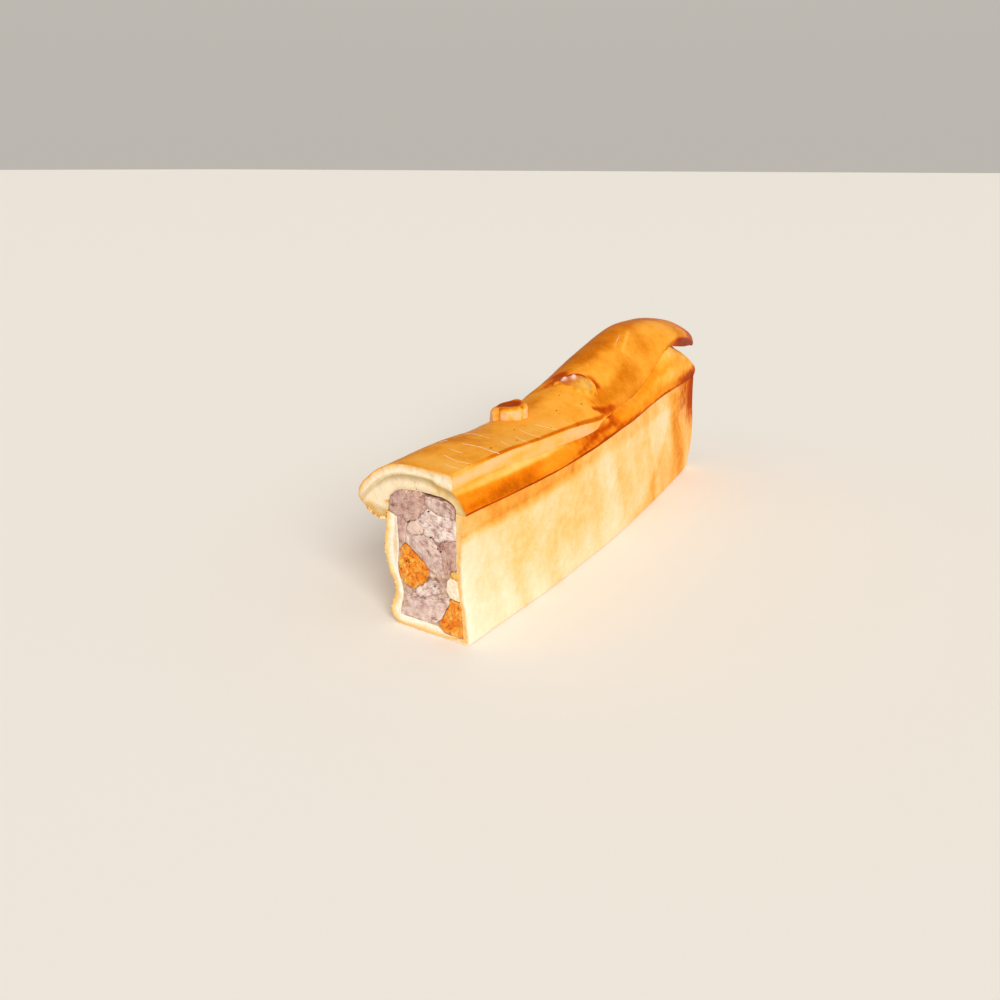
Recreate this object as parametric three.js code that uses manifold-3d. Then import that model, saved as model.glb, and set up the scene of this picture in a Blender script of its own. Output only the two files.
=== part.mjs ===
// A cut pate en croute: a long pastry case, two flaps folded in over the filling, a puffed top
// sheet with two chimneys, and a coarse filling of meat and fruit that shows at the cut end.
// Millimetres, +Z up. The loaf stands on z = 0 and runs along +Y, with its cut end at -Y.
import * as THREE from 'three';
import { mergeVertices } from 'three/addons/utils/BufferGeometryUtils.js';
import loadManifold from 'manifold-3d';

// Driving dimensions. s is the distance along the loaf from the cut, u the distance to the right
// of its middle line, and z the height. A list of pairs gives a size that changes along the loaf.
const loafLength = 340;
const spineRadius = 1613;
const gap = 0.3;

const wallThickness = 6.5;
const rimHeight = alongLoaf([[0, 68], [110, 68], [160, 70], [235, 74], [340, 72]]);
const rimHalfWidth = 24.7;
const footFlare = alongLoaf([[0, 1.3], [70, 0.3], [340, 0]]);
const leftWallHeight = alongLoaf([[0, 61], [150, 62], [250, 66], [340, 72]]);
const leftWallSide = -25;
const sagAtCut = alongLoaf([[0, 1], [60, 0.6], [140, 0.3], [340, 0.3]]);
const dishAtCut = alongLoaf([[0, 1], [50, 0.35], [110, 0], [340, 0]]);
const bellyAtFarEnd = alongLoaf([[0, 0], [200, 0], [300, 1], [340, 1]]);
const farCornerRadius = 9;
const farHeelRadius = 10;
const floorThickness = 5.4;
const floorUnderFruit = 2.4;
const fruitFloor = { from: 5, to: 11 };
const fruitHollow = { depth: 3.4, from: 8, to: 42 };

// Swellings and hollows of the walls: how far they stand out, at what height, and their reach.
const leftBelly = { out: -2.4, height: 42, reach: 12 };
const leftWaist = { out: 4, height: 19, reach: 8 };
const innerBelly = { out: -0.8, height: 33, reach: 7 };
const innerWaist = { out: 2.4, height: 18, reach: 7 };
const rightDish = { out: -3.6, height: 38, reach: 24 };
const rightBelly = { out: 2, height: 28, reach: 20 };

const crestLine = -9;
const crestHeight = alongLoaf([
  [0, 87.6], [40, 89.6], [72, 88.9], [96, 90.2], [118, 93], [137, 97.2],
  [165, 104.2], [200, 112.9], [243, 119.8], [284, 118.9], [342, 112], [356, 107.8],
]);
const sheetEdgeSide = alongLoaf([[0, 16.3], [80, 18], [356, 19]]);
const sheetEdgeHeight = alongLoaf([
  [0, 86.8], [35, 88.4], [70, 87.4], [120, 84.6], [158, 80.4], [185, 82.8],
  [214, 86.4], [240, 94], [262, 103], [288, 108], [320, 104.5], [356, 95.5],
]);
const sheetEdgeThickness = alongLoaf([
  [0, 8], [90, 8], [140, 6.5], [160, 4], [185, 3.2], [245, 3.2], [275, 5], [310, 6.5], [356, 9.5],
]);
const sheetThickness = 5;
const sheetTipThickness = 6.3;
const sheetTipSide = alongLoaf([[0, -46.5], [60, -45], [170, -40.5], [260, -37], [356, -35]]);
const sheetTipHeight = alongLoaf([[0, 65.9], [80, 67], [170, 74], [250, 80], [356, 80]]);
const sheetDroop = 2.3;
const sheetEnd = 352;
const beakReach = 5;
const beakSide = 18;
const beakStart = 290;

const seamSide = -6;
const archDepth = alongLoaf([[0, 12.4], [110, 13], [200, 16.5], [340, 16.5]]);
const archLeftSide = -24;
const archRightSide = 18.3;
const archMiddle = (archLeftSide + archRightSide) / 2;
const archSquareness = 2.8;
const archEndStart = 258;
const flapLeast = 2.2;
const flapEndStart = 278;
const flapSag = { depth: 2.6, from: 275, to: 312 };
const domeSquareness = 3;
const bandInset = 2;
const overhangDrop = 5;
const overhangInset = 8;
const overhangLift = 2.4;
const fillingClearance = 1.1;
const heart = { u: -2, z: 52 };

// Chimneys are ovals: the radius is the half width across the loaf, and along is their length to width.
const nearChimney = { u: -15.3, s: 98, radius: 11.2, along: 0.85, height: 7.3 };
const farChimney = { u: -0.2, s: 156, radius: 10, along: 1.1, height: 2.6 };

// Pieces of the filling that show at the cut, each an oval given by its middle, its half length,
// its half width and the tilt of its long way. Neighbours press flat against each other.
const pieceSpread = 1.2;
const pieceSeam = 0.7;
const pieceBed = 0.1;
const fillingPieces = [
  { name: 'pork_top_left', u: -12, z: 67, long: 11, wide: 8.2, tilt: 15, depth: 20 },
  { name: 'pork_left', u: -15.3, z: 54, long: 7.2, wide: 3.4, tilt: -83, depth: 14 },
  { name: 'pork_top_right', u: 9, z: 69.5, long: 9.2, wide: 4.3, tilt: -12, depth: 18 },
  { name: 'pork_right', u: 6.3, z: 59.5, long: 12, wide: 6.6, tilt: -3, depth: 24 },
  { name: 'pork_diagonal', u: -1.5, z: 45, long: 12, wide: 6.2, tilt: -34, depth: 22 },
  { name: 'pork_right_low', u: 13.2, z: 45.5, long: 8.2, wide: 5.4, tilt: 82, depth: 16 },
  { name: 'pork_pale', u: -0.5, z: 23, long: 8.2, wide: 3.8, tilt: 34, depth: 12 },
  { name: 'pork_bottom', u: -3, z: 12.5, long: 16.5, wide: 7, tilt: 18, depth: 24 },
  { name: 'fat_middle', u: -7.3, z: 55, long: 4.6, wide: 2.8, tilt: 22, depth: 9 },
  { name: 'fat_right', u: 16.8, z: 27.8, long: 5.6, wide: 4, tilt: -80, depth: 10 },
  { name: 'fruit_left', u: -10, z: 33.5, long: 9.6, wide: 8.6, tilt: -60, depth: 16 },
  { name: 'fruit_right', u: 15.2, z: 10.8, long: 9.8, wide: 6.6, tilt: 72, depth: 16 },
  { name: 'fruit_yellow', u: 17, z: 35.4, long: 2.8, wide: 2.4, tilt: -43, depth: 6 },
];

const crustColour = 0xf2cf8a;
const goldenColour = 0xe9a441;
const bakedColour = 0xc98a3c;
const paleDoughColour = 0xe6d9b4;
const jellyColour = 0xd9a05a;
const forcemeatColour = 0xa8907e;
const pieceColours = { pork: 0xbfa8a8, fat: 0xe8dcc8, fruit: 0xe8832a };

// Stations where the lofted solids take a section.
const fillingEnd = loafLength - wallThickness;
const lastBend = (fillingEnd + loafLength) / 2;
const fillingStations = [
  0, 20, 44, 70, 86, 98, 110, 122, 134, 148, 160, 172, 186, 200,
  216, 232, 248, 262, 276, 290, 304, 317, 327, fillingEnd,
];
const wallStations = [...fillingStations, lastBend];
const flapStations = [...wallStations, loafLength];
const sheetStations = [...fillingStations.filter((s) => s <= 317), 329, loafLength, sheetEnd];

const wasm = await loadManifold();
wasm.setup();

// A smooth curve through a few sizes given along the loaf.
function alongLoaf(knots) {
  const places = knots.map(([s]) => s);
  const sizes = knots.map(([, size]) => size);
  const curve = new THREE.CubicInterpolant(places, sizes, 1);
  return (s) => curve.evaluate(THREE.MathUtils.clamp(s, places[0], places.at(-1)))[0];
}

// How far a rounded swelling of a wall stands out at height z.
function swelling({ out, height, reach }, z) {
  return out * Math.exp(-(((z - height) / reach) ** 2));
}

// How far a rounded end has drawn in at s: nothing before the round starts, its radius at the end.
function roundedEnd(s, end, radius) {
  const past = THREE.MathUtils.clamp(s - (end - radius), 0, radius);
  return radius - Math.sqrt(radius ** 2 - past ** 2);
}

// The share of its height that a domed end keeps at s, from 1 where the dome starts to 0 at its end.
function domedEnd(s, start, end) {
  const past = THREE.MathUtils.clamp((s - start) / (end - start), 0, 1);
  return (1 - past ** domeSquareness) ** (1 / domeSquareness);
}

// The loaf bends gently to its left: straight sizes go onto an arc round a far centre.
function onLoaf(u, s, z) {
  const angle = (s - loafLength / 2) / spineRadius;
  const reach = spineRadius + u;
  return new THREE.Vector3(reach * Math.cos(angle) - spineRadius, reach * Math.sin(angle), z);
}

// Presses a three.js shape into place: every corner goes where the given function puts it.
function pressed(geometry, place) {
  const corners = geometry.getAttribute('position');
  const corner = new THREE.Vector3();
  for (let i = 0; i < corners.count; i++) {
    corner.fromBufferAttribute(corners, i);
    const { x, y, z } = place(corner.clone());
    corners.setXYZ(i, x, y, z);
  }
  geometry.deleteAttribute('normal');
  geometry.deleteAttribute('uv');
  return mergeVertices(geometry, 1e-4);
}

// A layer of pastry: a box whose sides run around the section, through the layer and along the loaf.
// The inner and outer functions give one face's points [u, z] at station s, from p = 0 to 1.
function pastryLayer(around, layerStations, inner, outer, shift = () => 0) {
  const along = layerStations.length - 1;
  const box = new THREE.BoxGeometry(1, 1, 1, around, 1, along);
  return pressed(box, (corner) => {
    const p = Math.round((corner.x + 0.5) * around) / around;
    const s = layerStations[Math.round((corner.z + 0.5) * along)];
    const face = corner.y > 0 ? outer : inner;
    const [u, z] = face(p, s);
    return onLoaf(u, s + shift(u, s), z);
  });
}

// A solid column along the loaf. The ring function gives its outline at station s as points [u, z],
// clockwise as seen from the cut, and the column stops short at the given end.
function column(columnStations, ring, end = Infinity) {
  const around = ring(columnStations[0]).length;
  const along = columnStations.length - 1;
  const cylinder = new THREE.CylinderGeometry(1, 1, 1, around, along);
  return pressed(cylinder, (corner) => {
    const s = columnStations[Math.round((corner.y + 0.5) * along)];
    const turn = Math.atan2(corner.x, corner.z) / (2 * Math.PI);
    const [u, z] = ring(s)[(Math.round(turn * around) + around) % around];
    const share = Math.hypot(corner.x, corner.z);
    const across = THREE.MathUtils.lerp(heart.u, u, share);
    return onLoaf(across, Math.min(s, end), THREE.MathUtils.lerp(heart.z, z, share));
  });
}

// A closed ring of points [u, z], clockwise, drawn in by a distance on every side.
function drawnIn(ring, distance) {
  return ring.map(([u, z], i) => {
    const before = ring[(i + ring.length - 1) % ring.length];
    const after = ring[(i + 1) % ring.length];
    const arriving = new THREE.Vector2(u - before[0], z - before[1]).normalize();
    const leaving = new THREE.Vector2(after[0] - u, after[1] - z).normalize();
    const inward = new THREE.Vector2(arriving.y + leaving.y, -arriving.x - leaving.x).normalize();
    const mitre = Math.max(0.4, inward.x * leaving.y - inward.y * leaving.x);
    return [u + (inward.x * distance) / mitre, z + (inward.y * distance) / mitre];
  });
}

function solidOf(geometry) {
  return new wasm.Manifold(new wasm.Mesh({
    numProp: 3,
    vertProperties: new Float32Array(geometry.getAttribute('position').array),
    triVerts: new Uint32Array(geometry.index.array),
  }));
}

function geometryOf(solid) {
  const mesh = solid.getMesh();
  const geometry = new THREE.BufferGeometry();
  geometry.setAttribute('position', new THREE.BufferAttribute(mesh.vertProperties, 3));
  geometry.setIndex(new THREE.BufferAttribute(mesh.triVerts, 1));
  return geometry;
}

// Pastry case. The left wall swells above its middle and draws in near the floor, and the right wall
// is dished at the cut.
function leftWallOuter(z, s) {
  const sag = sagAtCut(s) * (swelling(leftBelly, z) + swelling(leftWaist, z));
  return leftWallSide + sag + roundedEnd(s, loafLength, farCornerRadius);
}

function leftWallInner(z, s) {
  const sag = sagAtCut(s) * (swelling(innerBelly, z) + swelling(innerWaist, z));
  return leftWallSide + wallThickness + sag + roundedEnd(s, fillingEnd, farCornerRadius / 2);
}

function rightWallOuter(z, s) {
  const flare = footFlare(s) * (1 - z / rimHeight(s));
  const sag = dishAtCut(s) * swelling(rightDish, z) + bellyAtFarEnd(s) * swelling(rightBelly, z);
  return rimHalfWidth + flare + sag - roundedEnd(s, loafLength, farCornerRadius);
}

function rightWallInner(z, s) {
  const { depth, from, to } = fruitHollow;
  const hollow = depth * (1 - THREE.MathUtils.smoothstep(z, from, to));
  return archRightSide + sagAtCut(s) * hollow - roundedEnd(s, fillingEnd, farCornerRadius / 2);
}

function floorInner(u, s) {
  const hollow = sagAtCut(s) * THREE.MathUtils.smoothstep(u, fruitFloor.from, fruitFloor.to);
  return floorThickness - (floorThickness - floorUnderFruit) * hollow;
}

const wallSteps = 8;
const floorSteps = 4;
const caseSteps = 2 * wallSteps + floorSteps;
const leftFootRadius = 7.5;
const leftFootLift = 1;
const wallTopSlope = 1.8;

// A point on the case's outer or inner face: down the left wall, along the floor, up the right wall.
function caseOuter(p, s) {
  const step = Math.round(p * caseSteps);
  const heel = roundedEnd(s, loafLength, farHeelRadius);
  if (step <= wallSteps) {
    const z = THREE.MathUtils.lerp(leftWallHeight(s), heel + leftFootLift, step / wallSteps);
    const foot = roundedEnd(leftFootRadius - z + heel, leftFootRadius, leftFootRadius);
    return [leftWallOuter(z, s) + foot, z];
  }
  if (step < wallSteps + floorSteps) {
    const across = (step - wallSteps - 1) / (floorSteps - 1);
    const leftFoot = leftWallOuter(heel, s) + leftFootRadius;
    return [THREE.MathUtils.lerp(leftFoot, rightWallOuter(heel, s), across), heel];
  }
  const z = THREE.MathUtils.lerp(heel, rimHeight(s), (step - wallSteps - floorSteps) / wallSteps);
  return [rightWallOuter(z, s), z];
}

function caseInner(p, s) {
  const step = Math.round(p * caseSteps);
  if (step <= wallSteps) {
    const z = THREE.MathUtils.lerp(leftWallHeight(s) - wallTopSlope, floorThickness, step / wallSteps);
    return [leftWallInner(z, s), z];
  }
  const rightFloor = floorInner(archRightSide, s);
  if (step < wallSteps + floorSteps) {
    const across = (step - wallSteps) / floorSteps;
    const left = leftWallInner(floorThickness, s);
    const u = THREE.MathUtils.lerp(left, rightWallInner(rightFloor, s), across);
    return [u, floorInner(u, s)];
  }
  const z = THREE.MathUtils.lerp(rightFloor, rimHeight(s), (step - wallSteps - floorSteps) / wallSteps);
  return [rightWallInner(z, s), z];
}

// The far end wall is as deep as the walls are thick, and its top is level between theirs.
function endWallRing(s) {
  const ring = [];
  for (let step = caseSteps; step >= 0; step--) {
    ring.push(caseOuter(step / caseSteps, s));
  }
  return ring;
}

function pastryCase() {
  const walls = pastryLayer(caseSteps, wallStations, caseInner, caseOuter);
  const end = column([fillingEnd, lastBend, loafLength], endWallRing);
  return solidOf(walls).add(solidOf(end));
}

// Top sheet. Its section runs from the cut edge on the right over the crest to the drooping left tip.
function sheetTop(u, s) {
  const crest = crestHeight(s);
  if (u > crestLine) {
    const out = (u - crestLine) / (sheetEdgeSide(s) - crestLine);
    return crest - (crest - sheetEdgeHeight(s)) * out ** 2;
  }
  const out = (crestLine - u) / (crestLine - sheetTipSide(s));
  return crest - (crest - sheetTipHeight(s)) * out ** sheetDroop;
}

function sheetDepth(u, s) {
  const toEdge = THREE.MathUtils.smoothstep(u, 0, sheetEdgeSide(s));
  const toTip = THREE.MathUtils.smoothstep(-u, 0, -sheetTipSide(s));
  const edge = (sheetEdgeThickness(s) - sheetThickness) * toEdge;
  return sheetThickness + edge + (sheetTipThickness - sheetThickness) * toTip;
}

// The sheet's slope across the loaf, and the point at a given depth square under its top.
function sheetSlope(u, s) {
  const step = 0.05;
  return (sheetTop(u + step, s) - sheetTop(u - step, s)) / (2 * step);
}

function underSheet(u, s, depth) {
  const slope = sheetSlope(u, s);
  const length = Math.hypot(slope, 1);
  return [u + (depth * slope) / length, sheetTop(u, s) - depth / length];
}

const sheetSteps = 20;
const sheetSide = (p, s) => THREE.MathUtils.lerp(sheetEdgeSide(s), sheetTipSide(s), p);
const sheetOuter = (p, s) => underSheet(sheetSide(p, s), s, 0);
const sheetInner = (p, s) => underSheet(sheetSide(p, s), s, sheetDepth(sheetSide(p, s), s));

// The far right corner of the sheet reaches past the case as a beak.
function beak(u, s) {
  const out = THREE.MathUtils.clamp(u / beakSide, -1, 1);
  return beakReach * out * THREE.MathUtils.smoothstep(s, beakStart, sheetEnd);
}

// Flaps. Their outer face lies under the sheet, or shows as the band below the sheet's right edge,
// and their inner face is the arch over the filling. At the far end they sag away from the sheet and
// dome down to the rim.
function flapDepth(u, s) {
  const { depth, from, to } = flapSag;
  return sheetDepth(u, s) + gap + depth * THREE.MathUtils.smoothstep(s, from, to);
}

function archTop(u, s) {
  const base = (u < seamSide ? leftWallHeight(s) : rimHeight(s)) + gap;
  const out = Math.min(1, Math.abs(u - archMiddle) / (archRightSide - archMiddle));
  const rise = (1 - out ** archSquareness) ** (1 / archSquareness);
  const closed = Math.max(leftWallHeight(s), rimHeight(s)) + gap;
  const keep = domedEnd(s, archEndStart, fillingEnd);
  const crown = THREE.MathUtils.lerp(closed, crestHeight(s) - archDepth(s), keep);
  const lidDepth = flapDepth(u, s) + flapLeast;
  const lid = sheetTop(u, s) - lidDepth * Math.hypot(sheetSlope(u, s), 1);
  return Math.max(base, Math.min(base + (crown - base) * rise, lid));
}

function flapTop(u, s) {
  const [side, height] = underSheet(u, s, flapDepth(u, s));
  const floor = Math.max(leftWallHeight(s), rimHeight(s)) + gap;
  const keep = domedEnd(s, flapEndStart, loafLength + 1);
  return [side, floor + (height - floor) * keep];
}

const bandSteps = 4;
const rightFlapSteps = 10;

// The band leans in evenly for most of its way and rolls over at the top.
function bandLean(rise) {
  const rolled = 0.4;
  return (1 - rolled) * rise ** 1.2 + rolled * (1 - Math.sqrt(1 - rise ** 2));
}

function rightFlapOuter(p, s) {
  const step = Math.round(p * rightFlapSteps);
  const rim = rimHeight(s) + gap;
  const rimSide = rimHalfWidth - roundedEnd(s, loafLength, farCornerRadius);
  const edge = Math.min(sheetEdgeSide(s), rimSide - bandInset);
  if (step <= bandSteps) {
    const rise = step / bandSteps;
    const [edgeSide, edgeHeight] = flapTop(edge, s);
    const u = THREE.MathUtils.lerp(rimSide, edgeSide, bandLean(rise));
    return [u, THREE.MathUtils.lerp(rim, edgeHeight, rise)];
  }
  const across = (step - bandSteps) / (rightFlapSteps - bandSteps);
  return flapTop(THREE.MathUtils.lerp(edge, seamSide + gap / 2, across), s);
}

function rightFlapInner(p, s) {
  const edge = archRightSide - roundedEnd(s, fillingEnd, farCornerRadius / 2);
  const u = THREE.MathUtils.lerp(seamSide + gap / 2, edge, Math.cos((p * Math.PI) / 2));
  return [u, archTop(u, s)];
}

const leftFlapSteps = 12;
const archSteps = 6;
const wallClearance = 1;

function leftFlapOuter(p, s) {
  return flapTop(THREE.MathUtils.lerp(seamSide - gap / 2, sheetTipSide(s), p), s);
}

// Over the filling the left flap is an arch. It sits on the left wall and hangs over it, with an
// underside that dips beside the wall and lifts towards the sheet's tip.
function leftFlapInner(p, s) {
  const step = Math.round(p * leftFlapSteps);
  if (step <= archSteps) {
    const turn = ((step / archSteps) * Math.PI) / 2;
    const u = THREE.MathUtils.lerp(seamSide - gap / 2, archLeftSide, Math.sin(turn));
    return [u, archTop(u, s)];
  }
  const wallSide = leftWallSide - wallClearance;
  if (step === archSteps + 1) {
    return [wallSide, leftWallHeight(s) + gap];
  }
  const out = (step - archSteps - 2) / (leftFlapSteps - archSteps - 2);
  const lift = overhangLift * (2 * out - 0.7) ** 2;
  const u = THREE.MathUtils.lerp(wallSide, sheetTipSide(s) + overhangInset, out);
  return [u, leftWallHeight(s) - overhangDrop + lift];
}

// Filling. Its outline follows the inner faces of the flaps and the case, clear of them by the gap.
function fillingRing(s) {
  const ring = [];
  for (let step = rightFlapSteps; step > 0; step--) {
    ring.push(rightFlapInner(step / rightFlapSteps, s));
  }
  for (let step = caseSteps; step >= 0; step--) {
    ring.push(caseInner(step / caseSteps, s));
  }
  for (let step = archSteps; step > 0; step--) {
    ring.push(leftFlapInner(step / leftFlapSteps, s));
  }
  return drawnIn(ring, fillingClearance);
}

function insideRing(ring, u, z) {
  let inside = false;
  ring.forEach(([u1, z1], i) => {
    const [u2, z2] = ring[(i + 1) % ring.length];
    if (z1 > z !== z2 > z && u < u1 + ((z - z1) * (u2 - u1)) / (z2 - z1)) {
      inside = !inside;
    }
  });
  return inside;
}

// How far a point lies from a piece's middle, as a share of the piece's own oval.
function shareOf(piece, u, z) {
  const tilt = THREE.MathUtils.degToRad(piece.tilt);
  const along = (u - piece.u) * Math.cos(tilt) + (z - piece.z) * Math.sin(tilt);
  const across = (z - piece.z) * Math.cos(tilt) - (u - piece.u) * Math.sin(tilt);
  return Math.hypot(along / piece.long, across / piece.wide);
}

const cutOutline = fillingRing(0);

function insidePiece(piece, u, z) {
  const share = shareOf(piece, u, z);
  if (share > pieceSpread || !insideRing(cutOutline, u, z)) {
    return false;
  }
  return fillingPieces.every((other) => other === piece || shareOf(other, u, z) > share);
}

// How far a piece reaches towards a turn of its oval, as a share of the oval, before a neighbour,
// the filling's outline or its own spread stops it.
function pieceReach(piece, du, dz) {
  const step = 0.01;
  let share = 0;
  while (insidePiece(piece, piece.u + (share + step) * du, piece.z + (share + step) * dz)) {
    share += step;
  }
  return share;
}

// A piece of the filling from its cut face at the front to its rounded back, grown on every side by
// a margin.
const pieceSides = 16;
const pieceTaper = [1, 1, 0.92, 0.7];

function fillingPiece(piece, margin, front) {
  const along = pieceTaper.length - 1;
  const tilt = THREE.MathUtils.degToRad(piece.tilt);
  return pressed(new THREE.CylinderGeometry(1, 1, 1, pieceSides, along), (corner) => {
    const level = Math.round((corner.y + 0.5) * along);
    const share = Math.hypot(corner.x, corner.z);
    const turn = Math.atan2(corner.x, corner.z);
    const lengthwise = piece.long * Math.sin(turn);
    const crosswise = piece.wide * Math.cos(turn);
    const du = lengthwise * Math.cos(tilt) - crosswise * Math.sin(tilt);
    const dz = lengthwise * Math.sin(tilt) + crosswise * Math.cos(tilt);
    const edge = pieceReach(piece, du, dz) + margin / Math.hypot(du, dz);
    const reach = share * edge * pieceTaper[level];
    const back = (piece.depth * level) / along + Math.max(margin, 0);
    return onLoaf(piece.u + reach * du, level === 0 ? front : back, piece.z + reach * dz);
  });
}

// What is left between the pieces, without the scraps that they cut loose.
function forcemeat() {
  let solid = solidOf(column(fillingStations, fillingRing, fillingEnd - gap));
  for (const piece of fillingPieces) {
    solid = solid.subtract(solidOf(fillingPiece(piece, pieceBed, -pieceBed)));
  }
  const bodies = solid.decompose();
  return bodies.reduce((largest, body) => (body.volume() > largest.volume() ? body : largest));
}

// Chimneys: rings of pastry bedded on the sheet, given by half their profile from the middle outwards.
// Heights are above the sheet, and a ring's foot is cut to the sheet it lies on.
const footDepth = -1.5;
const flutes = 7;

function onSheet(spot, profile, fluteDepth) {
  const around = 3 * flutes;
  const points = profile.map(([out, height]) => new THREE.Vector2(out, height));
  return pressed(new THREE.LatheGeometry(points, around), (corner) => {
    const flute = 1 + fluteDepth * Math.cos(flutes * Math.atan2(corner.z, corner.x));
    const u = spot.u + corner.x * flute;
    const s = spot.s - corner.z * flute * spot.along;
    return onLoaf(u, s, sheetTop(u, s) + corner.y);
  });
}

function beddedOnSheet(ring) {
  const raised = (face) => (p, s) => {
    const [u, z] = face(p, s);
    return [u, z + gap];
  };
  const sheet = pastryLayer(sheetSteps, sheetStations, raised(sheetInner), raised(sheetOuter), beak);
  return geometryOf(solidOf(ring).subtract(solidOf(sheet)));
}

function nearChimneyRing() {
  const { radius, height } = nearChimney;
  const profile = [
    [0, footDepth], [radius, footDepth], [radius, 0.6 * height], [0.96 * radius, 0.88 * height],
    [0.78 * radius, height], [0.6 * radius, 0.92 * height], [0.45 * radius, 0.6 * height],
    [0, 0.5 * height],
  ];
  return beddedOnSheet(onSheet(nearChimney, profile, 0.035));
}

const jellyRadius = 0.66 * farChimney.radius;
const jellyFloor = 1.2;
const jellyHeight = 2.2;

function farChimneyRing() {
  const { radius, height } = farChimney;
  const profile = [
    [0, footDepth], [radius, footDepth], [0.98 * radius, 0.4 * height], [0.88 * radius, 0.9 * height],
    [0.8 * radius, height], [0.72 * radius, 0.85 * height], [jellyRadius, jellyFloor], [0, jellyFloor],
  ];
  return beddedOnSheet(onSheet(farChimney, profile, 0.02));
}

function jelly() {
  const radius = jellyRadius - gap;
  const floor = jellyFloor + gap;
  const profile = [
    [0, floor], [radius, floor], [0.9 * radius, floor + 0.5 * jellyHeight],
    [0.5 * radius, floor + 0.9 * jellyHeight], [0, floor + jellyHeight],
  ];
  return onSheet(farChimney, profile, 0);
}

// The loaf as a scene graph: one named mesh for each piece.
const loaf = new THREE.Group();

function addPiece(name, geometry, colour, roughness) {
  const material = new THREE.MeshStandardMaterial({ color: colour, roughness, metalness: 0 });
  const mesh = new THREE.Mesh(geometry, material);
  mesh.name = name;
  loaf.add(mesh);
}

const rightFlap = pastryLayer(rightFlapSteps, flapStations, rightFlapInner, rightFlapOuter);
const leftFlap = pastryLayer(leftFlapSteps, flapStations, leftFlapInner, leftFlapOuter);
const topSheet = pastryLayer(sheetSteps, sheetStations, sheetInner, sheetOuter, beak);
addPiece('case', geometryOf(pastryCase()), crustColour, 0.6);
addPiece('flap_right', rightFlap, paleDoughColour, 0.6);
addPiece('flap_left', leftFlap, paleDoughColour, 0.6);
addPiece('top_sheet', topSheet, goldenColour, 0.35);
addPiece('chimney_near', nearChimneyRing(), bakedColour, 0.4);
addPiece('chimney_far', farChimneyRing(), goldenColour, 0.35);
addPiece('jelly', jelly(), jellyColour, 0.12);
addPiece('forcemeat', geometryOf(forcemeat()), forcemeatColour, 0.5);
for (const piece of fillingPieces) {
  const [kind] = piece.name.split('_');
  addPiece(piece.name, fillingPiece(piece, -pieceSeam / 2, 0), pieceColours[kind], 0.45);
}

export default loaf;
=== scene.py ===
import collections
import itertools
import math

import bmesh
import bpy
import numpy as np
from mathutils import Matrix, Vector


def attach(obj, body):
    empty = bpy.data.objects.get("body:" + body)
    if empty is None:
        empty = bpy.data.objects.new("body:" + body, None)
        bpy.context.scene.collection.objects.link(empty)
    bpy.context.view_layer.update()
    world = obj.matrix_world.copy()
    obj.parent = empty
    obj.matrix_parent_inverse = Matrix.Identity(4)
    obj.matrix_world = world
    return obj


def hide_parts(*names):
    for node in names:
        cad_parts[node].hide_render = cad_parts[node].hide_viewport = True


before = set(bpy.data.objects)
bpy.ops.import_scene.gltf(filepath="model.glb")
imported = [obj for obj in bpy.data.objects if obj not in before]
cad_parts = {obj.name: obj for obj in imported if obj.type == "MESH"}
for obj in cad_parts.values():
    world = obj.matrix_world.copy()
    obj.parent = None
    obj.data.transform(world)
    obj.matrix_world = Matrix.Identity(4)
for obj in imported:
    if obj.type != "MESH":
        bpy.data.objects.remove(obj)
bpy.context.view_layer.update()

# The pastry case. Shortcrust rolled out and pressed into a long mould: the floor, the two walls
# and the far end are one piece. It bakes pale against the metal and gold at the far end, and the
# knife shows a cream crumb under a thin skin. Sizes are in mm, s along the loaf from the cut.
loaf_length = 340.0
spine_radius = 1613.0
wall_thickness = 6.5
filling_end = loaf_length - wall_thickness
rim_half_width = 24.7
left_wall_side = -25.0
right_inner_side = rim_half_width - wall_thickness + 0.1
far_corner_radius = 9.0
far_heel_radius = 10.0
left_foot_radius = 7.5
right_foot_radius = 1.6
wall_top_slope = 1.8
floor_thickness = 5.4
floor_under_fruit = 2.4


def smooth_through(*knots):
    """A smooth curve through a few measured places, mostly a size that changes along the loaf."""
    places, sizes = np.array(knots, float).T
    rises = np.diff(sizes) / np.diff(places)
    slopes = np.r_[rises[0], (rises[1:] + rises[:-1]) / 2, rises[-1]]

    def size_at(s):
        s = np.clip(s, places[0], places[-1])
        i = np.clip(np.searchsorted(places, s, side="right") - 1, 0, len(rises) - 1)
        run = places[i + 1] - places[i]
        t = (s - places[i]) / run
        start = (2 * t**3 - 3 * t**2 + 1) * sizes[i] + (t**3 - 2 * t**2 + t) * run * slopes[i]
        end = (3 * t**2 - 2 * t**3) * sizes[i + 1] + (t**3 - t**2) * run * slopes[i + 1]
        return start + end

    return size_at


def between(first, last, share):
    return first + (last - first) * share


def eased(value, low, high):
    """0 up to low, 1 from high on, and a smooth rise between them."""
    share = np.clip((value - low) / (high - low), 0, 1)
    return share * share * (3 - 2 * share)


def hill(value, middle, reach):
    """1 at the middle, falling off smoothly on both sides of it."""
    return np.exp(-(((value - middle) / reach) ** 2))


def pairs(u, z):
    return np.stack((u, z), -1)


def rounded_end(s, end, radius):
    """How far a face draws in on its way round a corner of that radius."""
    past = np.clip(s - (end - radius), 0, radius)
    return radius - np.sqrt(radius * radius - past * past)


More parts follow.
